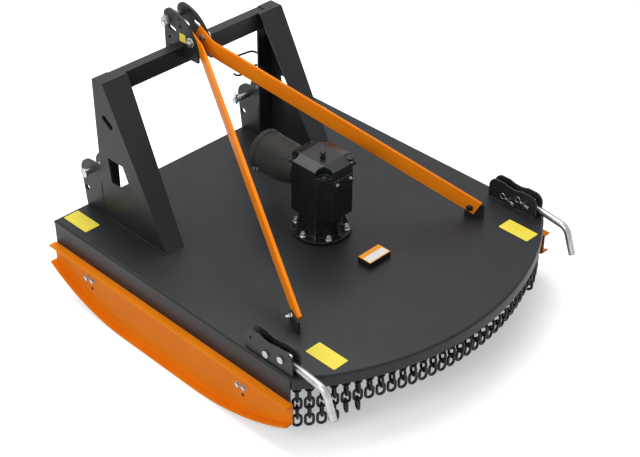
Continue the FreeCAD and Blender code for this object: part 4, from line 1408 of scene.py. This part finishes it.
@dataclass
class Driveline:
    """The bevel gearbox, the guard bell and the splined input shaft.

    Sizes are in millimetres and turns in degrees.
    """

    box: tuple[float, float, float] = (112.0, -126.0, 122.0)
    flange_bolts: int = 6
    flange_ring: float = 113.0
    flange_turn: float = 1.0
    flange_rise: float = 20.0
    flange_nut: Fastener = Fastener(
        washer=((16, 0), (17, 0.8), (17, 2.6), (16, 3.4)),
        washer_sides=28,
        seat=6.6,
        flats=23.0,
        height=11.0,
        thread=((7.5, 0), (7.5, 5.6), (6.4, 7.4)),
        thread_from=17.5,
        thread_sides=18,
    )
    flange_nut_turn: tuple[float, float] = (25.0, 17.0)
    spring_washer: Pairs = ((13, 0), (13.5, 1.2), (12.5, 3.2))
    spring_washer_seat: float = 3.4
    ribs: int = 6
    rib_turn: float = 30.0
    rib_root: float = 88.0
    rib_draw: float = 3.0
    rib_crease: float = 50.0
    rib_levels: tuple[tuple[float, float, float], ...] = (
        (0, 124, 7), (10, 118, 6), (40, 108, 5.5), (80, 103, 5.5), (107, 101, 6),
    )
    recess_inset: float = 22.0
    recess_depth: float = 42.0
    recess_screw: Fastener = Fastener(
        washer=((14, 0), (15, 0.8), (15, 2.4), (14, 3.0)), washer_sides=28, seat=3.0, flats=21.0, height=9.0
    )
    recess_screw_turn: float = 12.0
    breather_place: tuple[float, float] = (-12.0, -20.0)
    breather: Pairs = (
        (11, 0), (11.5, 2), (9, 5), (9, 13), (12, 15), (13.5, 18), (13.5, 24), (11, 27), (5, 28.5),
    )
    breather_hexagon: tuple[float, float, float, float] = (1.5, 24.0, 6.0, 5.0)
    filler_place: tuple[float, float] = (80.0, -92.0)
    filler: Pairs = ((15, 0), (15, 24), (21, 26), (21.5, 30), (20, 33), (10, 35.5), (4, 36))
    clip_place: tuple[float, float, float] = (70.0, -112.0, 29.0)
    clip_bend: tuple[float, float] = (7.0, 1.6)
    clip_sweep: tuple[float, float] = (-30, 250)
    pad_screw_place: tuple[float, float, float] = (40.0, 8.0, 80.0)
    pad_screw_thread: float = 8.0
    pad_screw_turn: float = 10.0
    guard_skin: Pairs = ((122, 72), (212, 94), (331, 97))
    rim_shade_lines: Pairs = ((331.0, 1.3), (318.0, 0.9))
    rim_lift: float = 0.2
    rim_steps: int = 72
    lid_line: Pairs = ((230, 140), (211, 144), (187, 141), (165, 130), (155, 115), (152, 97), (152, 90))
    lid_lift: float = 0.4
    lid_bend: float = 14.0
    lid_wire: float = 1.6
    guard_clips: Pairs = ((334.0, 206.0), (312.0, 204.0))
    guard_clip_lift: float = 1.0
    guard_clip_drop: float = 4.0
    guard_clip_bend: tuple[float, float] = (6.0, 1.8)
    guard_clip_sweep: tuple[float, float] = (-60, 200)
    splines: int = 6
    spline_outer: float = 17.5
    spline_root: float = 15.0
    spline_steps: int = 8
    spline_crease: float = 25.0
    shoulder: float = 132.0
    shoulder_lap: float = 2.0
    journal_edge: float = 1.0
    groove: Pairs = ((-26, 1.0), (-25, 0.86), (-18, 0.86), (-17, 1.0), (-3, 1.0), (0, 0.84))

    def build(self) -> None:
        """Builds the driveline's pieces."""
        dress(CASTING, ["gearbox"])
        dress(GUARD, ["pto_guard"])
        self.flange()
        self.necking()
        self.recess_screws()
        self.fittings()
        self.guard_lines()
        self.shaft()

    def flange(self) -> None:
        """The studs, nuts and washers that hold the gearbox's flange to the deck."""
        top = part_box("deck_top")[1].z + self.flange_rise * MM
        first, step = self.flange_nut_turn
        shape = Shape("flange_nuts")
        for i in range(self.flange_bolts):
            angle = math.radians(360 / self.flange_bolts * i + self.flange_turn)
            out = RIGHTWARD * math.cos(angle) + FORWARD * math.sin(angle)
            at = out * self.flange_ring * MM + UP * top
            shape.turned(at + UP * self.spring_washer_seat * MM, UP, self.spring_washer, sides=28)
            shape.fasten(self.flange_nut, at, UP, first + step * i)
        shape.finish(ZINC, "frame", "zinc_steel")

    def necking(self) -> None:
        """The cast ribs between the flange and the box, with the pockets between them."""
        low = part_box("deck_top")[1].z + self.flange_rise * MM
        shape = Shape("gearbox_ribs")
        for i in range(self.ribs):
            angle = math.radians(360 / self.ribs * i + self.rib_turn + self.flange_turn)
            out = Vector((math.cos(angle), math.sin(angle), 0.0))
            side = UP.cross(out)
            rings = []
            for level, reach, half in self.rib_levels:
                flank, tip = reach - self.rib_draw, half - self.rib_draw
                corners = [(self.rib_root, half), (self.rib_root, -half), (flank, -half)]
                corners += [(reach, -tip), (reach, tip), (flank, half)]
                base = UP * (low + level * MM)
                rings.append([base + (out * far + side * wide) * MM for far, wide in corners])
            shape.loft(rings)
        shape.finish(CASTING, "frame", "gearbox_iron", smooth=self.rib_crease)

    def recess_screws(self) -> None:
        """A hexagon cap screw on the floor of each corner recess."""
        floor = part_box("gearbox")[1].z - self.recess_depth * MM
        half, rear, front = self.box
        inset = self.recess_inset
        shape = Shape("gearbox_cap_screws")
        for x in (inset - half, half - inset):
            for y in (rear + inset, front - inset):
                shape.fasten(self.recess_screw, Vector((x * MM, y * MM, floor)), UP, self.recess_screw_turn)
        shape.finish(BLACK_STEEL, "frame")

    def fittings(self) -> None:
        """The breather, the filler cap, its spring clip and the small screws on the box's rear pad."""
        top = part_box("gearbox")[1].z
        plugs = Shape("gearbox_plugs")
        breather = Vector((self.breather_place[0] * MM, self.breather_place[1] * MM, top))
        plugs.turned(breather, UP, self.breather, sides=28)
        seat, flats, height, turn = self.breather_hexagon
        plugs.hexagon(breather + UP * seat * MM, UP, flats, height, turn)
        x, y = self.filler_place
        plugs.turned(Vector((x * MM, y * MM, top - self.recess_depth * MM)), UP, self.filler, sides=36)
        plugs.finish(BLACK_STEEL, "frame")
        bright = Shape("gearbox_clip_and_screw")
        x, y, drop = self.clip_place
        radius, wire = self.clip_bend
        clip = Vector((x * MM, y * MM, top - drop * MM))
        bright.wire(arc(clip, RIGHTWARD, UP, radius, self.clip_sweep, steps=14), wire)
        x, stand, drop = self.pad_screw_place
        pad = self.box[1] - stand
        for screw_x in (-x, x):
            at = Vector((screw_x * MM, pad * MM, top - drop * MM))
            bright.bolt(at, -FORWARD, self.pad_screw_thread, self.pad_screw_turn)
        bright.finish(ZINC, "frame", "zinc_steel")

    def guard_radius(self, y: float) -> float:
        """Outer radius of the guard bell.

        Args:
            y: Place along the guard, in millimetres.

        Returns:
            Radius in millimetres.
        """
        root, waist, lip = self.guard_skin
        (start, first), (end, last) = (root, waist) if y < waist[0] else (waist, lip)
        return first + (last - first) * (y - start) / (end - start)

    def on_guard(self, y: float, angle: float, lift: float) -> Vector:
        """A point on the guard's skin.

        Args:
            y: Place along the guard, in millimetres.
            angle: Angle from the machine's right, in degrees.
            lift: Height over the skin in millimetres.

        Returns:
            The point in metres.
        """
        low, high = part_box("pto_guard")
        radius = self.guard_radius(y) + lift
        turn = math.radians(angle)
        middle = (low.z + high.z) / 2
        return Vector((radius * math.cos(turn) * MM, y * MM, middle + radius * math.sin(turn) * MM))

    def guard_lines(self) -> None:
        """Dark rings behind the guard's lip, painted shade of its moulded step and groove, a dark line along
        the lid's edge, and the chain's two clips.
        """
        shape = Shape("guard_dark_lines")
        # Near-black rings: painted shade of the step and groove in the guard's skin.
        for y, radius in self.rim_shade_lines:
            turns = [360 * k / self.rim_steps for k in range(self.rim_steps)]
            shape.wire([self.on_guard(y, turn, self.rim_lift) for turn in turns], radius, closed=True)
        left = [self.on_guard(y, angle, self.lid_lift) for y, angle in self.lid_line]
        right = [self.on_guard(y, 180 - angle, self.lid_lift) for y, angle in reversed(self.lid_line[:-1])]
        shape.wire(eased(left + right, self.lid_bend, steps=4), self.lid_wire)
        shape.finish(BLACK_STEEL, "frame")
        clips = Shape("guard_clips")
        radius, wire = self.guard_clip_bend
        for y, angle in self.guard_clips:
            base = self.on_guard(y, angle, self.guard_clip_lift) - UP * self.guard_clip_drop * MM
            clips.wire(arc(base, UP, FORWARD, radius, self.guard_clip_sweep, steps=12), wire)
        clips.finish(ZINC, "frame", "zinc_steel")

    def shaft(self) -> None:
        """The six-splined input shaft with its locking groove, in place of its plainer solid."""
        low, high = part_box("pto_shaft")
        middle = Vector(((low.x + high.x) / 2, 0.0, (low.z + high.z) / 2))
        journal, length = (high.z - low.z) / 2 / MM, self.shoulder - low.y / MM
        edge = self.journal_edge
        shape = Shape("splined_input_shaft")
        profile = [(journal - edge, 0), (journal, edge), (journal, length - edge), (journal - edge, length)]
        shape.turned(middle + FORWARD * low.y, FORWARD, profile, sides=36)
        count = self.splines * self.spline_steps
        front = high.y / MM
        rings = []
        places = [(front + back, share) for back, share in self.groove]
        for y, share in [(self.shoulder - self.shoulder_lap, 1.0), *places]:
            ring = []
            for k in range(count):
                tooth = k % self.spline_steps < self.spline_steps // 2
                radius = (self.spline_outer if tooth else self.spline_root) * share
                turn = math.tau * k / count
                out = RIGHTWARD * math.cos(turn) + UP * math.sin(turn)
                ring.append(middle + FORWARD * y * MM + out * radius * MM)
            rings.append(ring)
        shape.loft(rings)
        shape.finish(ZINC, "pto_shaft", "zinc_steel", replaces=["pto_shaft"], smooth=self.spline_crease)


@dataclass
class RearSupports:
    """The support bars that swing at the rear corners, with brackets, pins and clips.

    Sizes are in millimetres. Places are along and above the machine; the eye's corners are taken
    from the pivot, and the clip's points from its pin, along and across the clip.
    """

    pivot: tuple[float, float] = (-475.6, 404.0)
    rest: tuple[float, float] = (-559.6, 425.0)
    bar_radius: float = 16.0
    bar_crease: float = 50.0
    root_lead: float = 22.0
    root_drop: float = 12.0
    root_edge: float = 2.5
    bend: tuple[float, float] = (-777.6, 387.0)
    bend_reach: float = 34.0
    tip: tuple[float, float] = (-822.6, 264.0)
    tip_edge: Pairs = ((0.6, 0.4), (0.0, 2.0))
    eye_half: float = 6.0
    eye_crease: float = 45.0
    eye_edge: float = 1.2
    eye_corner: float = 6.0
    eye_outline: Pairs = (
        (20, -8), (10, -20), (-14, -20), (-24, -6), (-34, 31), (-122, 31), (-122, 48), (-40, 40),
        (8, 34), (20, 22),
    )
    clip_wire: float = 1.9
    clip_inset: float = 7.0
    clip_slope: float = 7 / 33
    clip_leg: Pairs = ((-29, 0), (-6, 0), (18, 0))
    clip_coil: tuple[float, float] = (34.0, 13.5)
    clip_sweep: tuple[float, float] = (30, 330)
    clip_tail: Pairs = ((17, -3), (9, -9), (0, -11), (-9, -8), (-30, -9))

    def build(self) -> None:
        """Builds the supports' pieces."""
        dress(ANTHRACITE, [f"bracket_{place}_{side.word}" for side in Side for place in ("inner", "outer")])
        dress(ZINC, [f"clevis_{use}_{side.word}" for side in Side for use in ("pivot", "rest")])
        for side in Side:
            self.bar(side)
            for use, spot in (("pivot", self.pivot), ("rest", self.rest)):
                self.clip(side, use, spot)

    def bar(self, side: Side) -> None:
        """The bent round bar with its flat eye, in place of its plainer solid.

        Args:
            side: Side of the machine.
        """
        name = f"support_bar_{side.word}"
        low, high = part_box(name)
        x = (low.x + high.x) / 2
        places = (self.rest[0] - self.root_lead, self.rest[1] - self.root_drop), self.bend, self.tip
        root, bend, tip = (Vector((x, y * MM, z * MM)) for y, z in places)
        path = eased([root, bend, tip], self.bend_reach, steps=12)[:-1]
        path.insert(1, root + (bend - root).normalized() * self.root_edge * MM)
        radii = [self.bar_radius - self.root_edge] + [self.bar_radius] * (len(path) - 1)
        nose = (tip - bend).normalized()
        for back, drawn in self.tip_edge:
            path.append(tip - nose * back * MM)
            radii.append(self.bar_radius - drawn)
        shape = Shape(f"{name}_bent")
        shape.wire(path, radii, sides=24)
        shape.finish(ZINC, name, "zinc_steel", replaces=[name], smooth=self.bar_crease)
        self.eye(side, x)

    def eye(self, side: Side, x: float) -> None:
        """The flat eye that hangs on the pivot pin and sits over the rest pin.

        Args:
            side: Side of the machine.
            x: Middle of the eye across the machine, in metres.
        """
        name = f"support_bar_{side.word}"
        pivot = Vector((x, self.pivot[0] * MM, self.pivot[1] * MM))
        points = [pivot + (FORWARD * y + UP * z) * MM for y, z in self.eye_outline]
        outline = eased([*points, points[0]], self.eye_corner, steps=3)[1:]
        middle = sum(outline, Vector()) / len(outline)
        flat = self.eye_half - self.eye_edge
        rings = []
        ends = (-self.eye_half, self.eye_edge), (self.eye_half, self.eye_edge)
        for reach, drawn in (ends[0], (-flat, 0.0), (flat, 0.0), ends[1]):
            shift = RIGHTWARD * reach * MM
            rings.append([point + shift + (middle - point).normalized() * drawn * MM for point in outline])
        shape = Shape(f"{name}_eye")
        shape.loft(rings)
        shape.finish(ZINC, name, "zinc_steel", smooth=self.eye_crease)

    def clip(self, side: Side, use: str, spot: tuple[float, float]) -> None:
        """The spring clip through a clevis pin's inner end.

        Args:
            side: Side of the machine.
            use: The pin's use in its node's name.
            spot: Place of the pin along and above the machine, in millimetres.
        """
        low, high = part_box(f"clevis_{use}_{side.word}")
        inset = self.clip_inset * MM
        x = high.x - inset if side is Side.LEFT else low.x + inset
        pin = Vector((x, spot[0] * MM, spot[1] * MM))
        along = (FORWARD + UP * self.clip_slope).normalized()
        rise = RIGHTWARD.cross(along)
        leg = [pin + (along * far + rise * up) * MM for far, up in self.clip_leg]
        tail = [pin + (along * far + rise * up) * MM for far, up in self.clip_tail]
        reach, radius = self.clip_coil
        coil = arc(pin + along * reach * MM, -along, rise, radius, self.clip_sweep, steps=20)
        shape = Shape(f"spring_clip_{use}_{side.word}")
        shape.wire([*leg, *coil, *tail], self.clip_wire)
        shape.finish(ZINC, "frame", "zinc_steel")


@dataclass
class Rotor:
    """The rotor with its three swinging blades and their nuts. Sizes are in millimetres."""

    blades: int = 3
    arm_reach: float = 420.0
    carrier_top: float = 144.0
    blade_nut: Fastener = Fastener(
        washer=((21, 0), (22, 0.8), (22, 3), (21, 3.6)), washer_sides=32, seat=3.6, flats=34.0, height=10.2
    )
    nut_turn: float = 20.0
    hub_radius: float = 60.0
    hub_seam: float = 4.0
    seam_stand: float = 1.0
    seam_steps: int = 96

    def build(self) -> None:
        """Builds the rotor's pieces."""
        dress(CASTING, ["rotor"])
        dress(BLADE, [f"blade_{number + 1}" for number in range(self.blades)])
        top = UP * self.carrier_top * MM
        nuts = Shape("blade_nuts")
        for number in range(self.blades):
            turn = math.radians(90 + 360 / self.blades * number)
            out = Vector((math.cos(turn), math.sin(turn), 0.0))
            nuts.fasten(self.blade_nut, out * self.arm_reach * MM + top, UP, self.nut_turn * number)
        nuts.finish(ZINC, "rotor", "zinc_steel")
        seams = Shape("rotor_weld_seams")
        ring = arc(top, RIGHTWARD, FORWARD, self.hub_radius + self.seam_stand, (0, 360), self.seam_steps)
        seams.weld(ring, self.hub_seam)
        seams.finish(CASTING, "rotor", "gearbox_iron", smooth=BEAD_SMOOTH)


def seen_directly(tree: bpy.types.NodeTree) -> bpy.types.NodeSocket:
    """Whether a ray comes from the camera, from a glossy surface or through a clear one.

    Args:
        tree: Node tree that gets the nodes.

    Returns:
        Socket that is 1 for those rays and 0 for the others.
    """
    path = add(tree, "ShaderNodeLightPath")
    most = path.outputs["Is Camera Ray"]
    for kind in ("Is Glossy Ray", "Is Transmission Ray"):
        most = add(tree, "ShaderNodeMath", {0: most, 1: path.outputs[kind]}, operation="MAXIMUM").outputs[0]
    return most


@dataclass
class Studio:
    """Pale floor, plain soft lamps and the camera. Sizes are in metres and turns in degrees.

    Each lamp has its name, its place, the side of its square and its power in watts.
    """

    place: tuple[float, float, float] = (-3.6935, -3.6438, 4.0761)
    azimuth: float = -45.33
    elevation: float = 35.53
    roll: float = 0.291
    lens_mm: float = 80.79
    sensor_mm: float = 36.0
    sight: float = 60.0
    ambient: float = 0.42
    floor_half: float = 14.0
    floor_cells: int = 8
    floor_drop: float = 0.0005
    floor_tones: tuple[str, str] = ("#f4f4f4", "#f1f1f1")
    floor_patches: float = 3.0
    floor_bounce: str = "#8e8e8e"
    # The floor glows less near the machine: a painted shadow round it.
    near_glow_painted_shadow: float = 0.38
    far_glow: float = 0.64
    glow_reach: tuple[float, float] = (0.8, 1.5)
    lamp_aim: tuple[float, float, float] = (0.0, 0.0, 0.3)
    lamp_table: tuple[tuple[str, tuple[float, float, float], float, float], ...] = (
        ("overhead_lamp", (0.2, 1.1, 4.4), 4.0, 145.0),
        ("side_lamp", (-6.4, -1.3, 4.3), 3.8, 225.0),
    )

    def build(self) -> None:
        """Builds floor, world, lamps and camera."""
        self.floor()
        self.world()
        self.lamps()
        self.camera()

    def floor(self) -> None:
        shape = bmesh.new()
        bmesh.ops.create_grid(
            shape, x_segments=self.floor_cells, y_segments=self.floor_cells, size=self.floor_half
        )
        data = bpy.data.meshes.new("floor")
        shape.to_mesh(data)
        shape.free()
        floor = bpy.data.objects.new("floor", data)
        floor.location.z = -self.floor_drop
        bpy.context.scene.collection.objects.link(floor)
        data.materials.append(self.floor_material())

    def floor_material(self) -> bpy.types.Material:
        """Painted studio floor: white to the camera and to the gloss, with the machine's soft shadow, deepened
        near the machine by a painted shadow.

        Returns:
            The material, whose glow is weaker near the machine as a painted shadow and rises outward so that
            the far floor is white.
        """
        made = bpy.data.materials.new("studio_floor")
        made.use_nodes = True
        tree = made.node_tree
        tree.nodes.clear()
        place = add(tree, "ShaderNodeTexCoord").outputs["Object"]
        seen = seen_directly(tree)
        noise = add(tree, "ShaderNodeTexNoise", {"Vector": place, "Scale": self.floor_patches}).outputs[0]
        pale, paler = (linear(tone) for tone in self.floor_tones)
        tone = add(tree, "ShaderNodeMix", {0: noise, 6: pale, 7: paler}, data_type="RGBA").outputs[2]
        cast = add(tree, "ShaderNodeMix", {0: seen, 6: linear(self.floor_bounce), 7: tone}, data_type="RGBA")
        lit = add(tree, "ShaderNodeBsdfDiffuse", {"Color": cast.outputs[2]})
        # The glow grows with the distance from the machine, so that a painted shadow lies round it.
        away = add(tree, "ShaderNodeVectorMath", {0: place}, operation="LENGTH").outputs["Value"]
        start, end = self.glow_reach
        reach = {"Value": away, "From Min": start, "From Max": end}
        reach |= {"To Min": self.near_glow_painted_shadow, "To Max": self.far_glow}
        glow_with_painted_shadow = add(tree, "ShaderNodeMapRange", reach, interpolation_type="SMOOTHSTEP").outputs["Result"]
        glow = add(tree, "ShaderNodeEmission", {"Color": linear("#ffffff"), "Strength": glow_with_painted_shadow})
        dark = add(tree, "ShaderNodeEmission", {"Color": linear("#000000"), "Strength": 0.0})
        shown = add(tree, "ShaderNodeMixShader", {0: seen, 1: dark.outputs[0], 2: glow.outputs[0]})
        both = add(tree, "ShaderNodeAddShader", {0: lit.outputs[0], 1: shown.outputs[0]})
        add(tree, "ShaderNodeOutputMaterial", {"Surface": both.outputs[0]})
        return made

    def world(self) -> None:
        """Even pale surroundings; the camera, the gloss and clear pieces see white."""
        world = bpy.data.worlds.new("studio")
        bpy.context.scene.world = world
        world.use_nodes = True
        tree = world.node_tree
        tree.nodes.clear()
        soft = add(tree, "ShaderNodeBackground", {"Color": linear("#ffffff"), "Strength": self.ambient})
        white = add(tree, "ShaderNodeBackground", {"Color": linear("#ffffff"), "Strength": 1.0})
        shown = {0: seen_directly(tree), 1: soft.outputs[0], 2: white.outputs[0]}
        mixed = add(tree, "ShaderNodeMixShader", shown)
        add(tree, "ShaderNodeOutputWorld", {"Surface": mixed.outputs[0]})

    def lamps(self) -> None:
        """A broad lamp overhead and a weaker, more distant one from the left."""
        for name, place, size, power in self.lamp_table:
            data = bpy.data.lights.new(name, "AREA")
            data.size = size
            data.energy = power
            lamp = bpy.data.objects.new(name, data)
            lamp.location = place
            lamp.rotation_euler = (Vector(self.lamp_aim) - lamp.location).to_track_quat("-Z", "Y").to_euler()
            bpy.context.scene.collection.objects.link(lamp)

    def camera(self) -> None:
        """The camera behind the machine's left rear corner, looking down."""
        data = bpy.data.cameras.new("camera")
        data.lens = self.lens_mm
        data.sensor_width = self.sensor_mm
        data.clip_end = self.sight
        camera = bpy.data.objects.new("camera", data)
        turn, rise, roll = map(math.radians, (self.azimuth, self.elevation, self.roll))
        back = Vector((math.sin(turn) * math.cos(rise), -math.cos(turn) * math.cos(rise), math.sin(rise)))
        level = (-back).cross(UP).normalized()
        upright = level.cross(-back)
        right = level * math.cos(roll) + upright * math.sin(roll)
        above = upright * math.cos(roll) - level * math.sin(roll)
        pose = Matrix((right, above, back)).transposed().to_4x4()
        pose.translation = Vector(self.place)
        camera.matrix_world = pose
        bpy.context.scene.collection.objects.link(camera)
        bpy.context.scene.camera = camera
        bpy.context.scene.view_settings.view_transform = "Standard"


def main() -> None:
    """Builds the machine's classes in order and reports each."""
    logging.basicConfig(level=logging.INFO, format="%(message)s")
    assemblies = (Studio, Deck, Skids, ChainCurtains, Headstock, Stays, Driveline, RearSupports, Rotor)
    for assembly in assemblies:
        LOG.info("building %s", assembly.__name__)
        assembly().build()


if __name__ == "__main__":
    main()
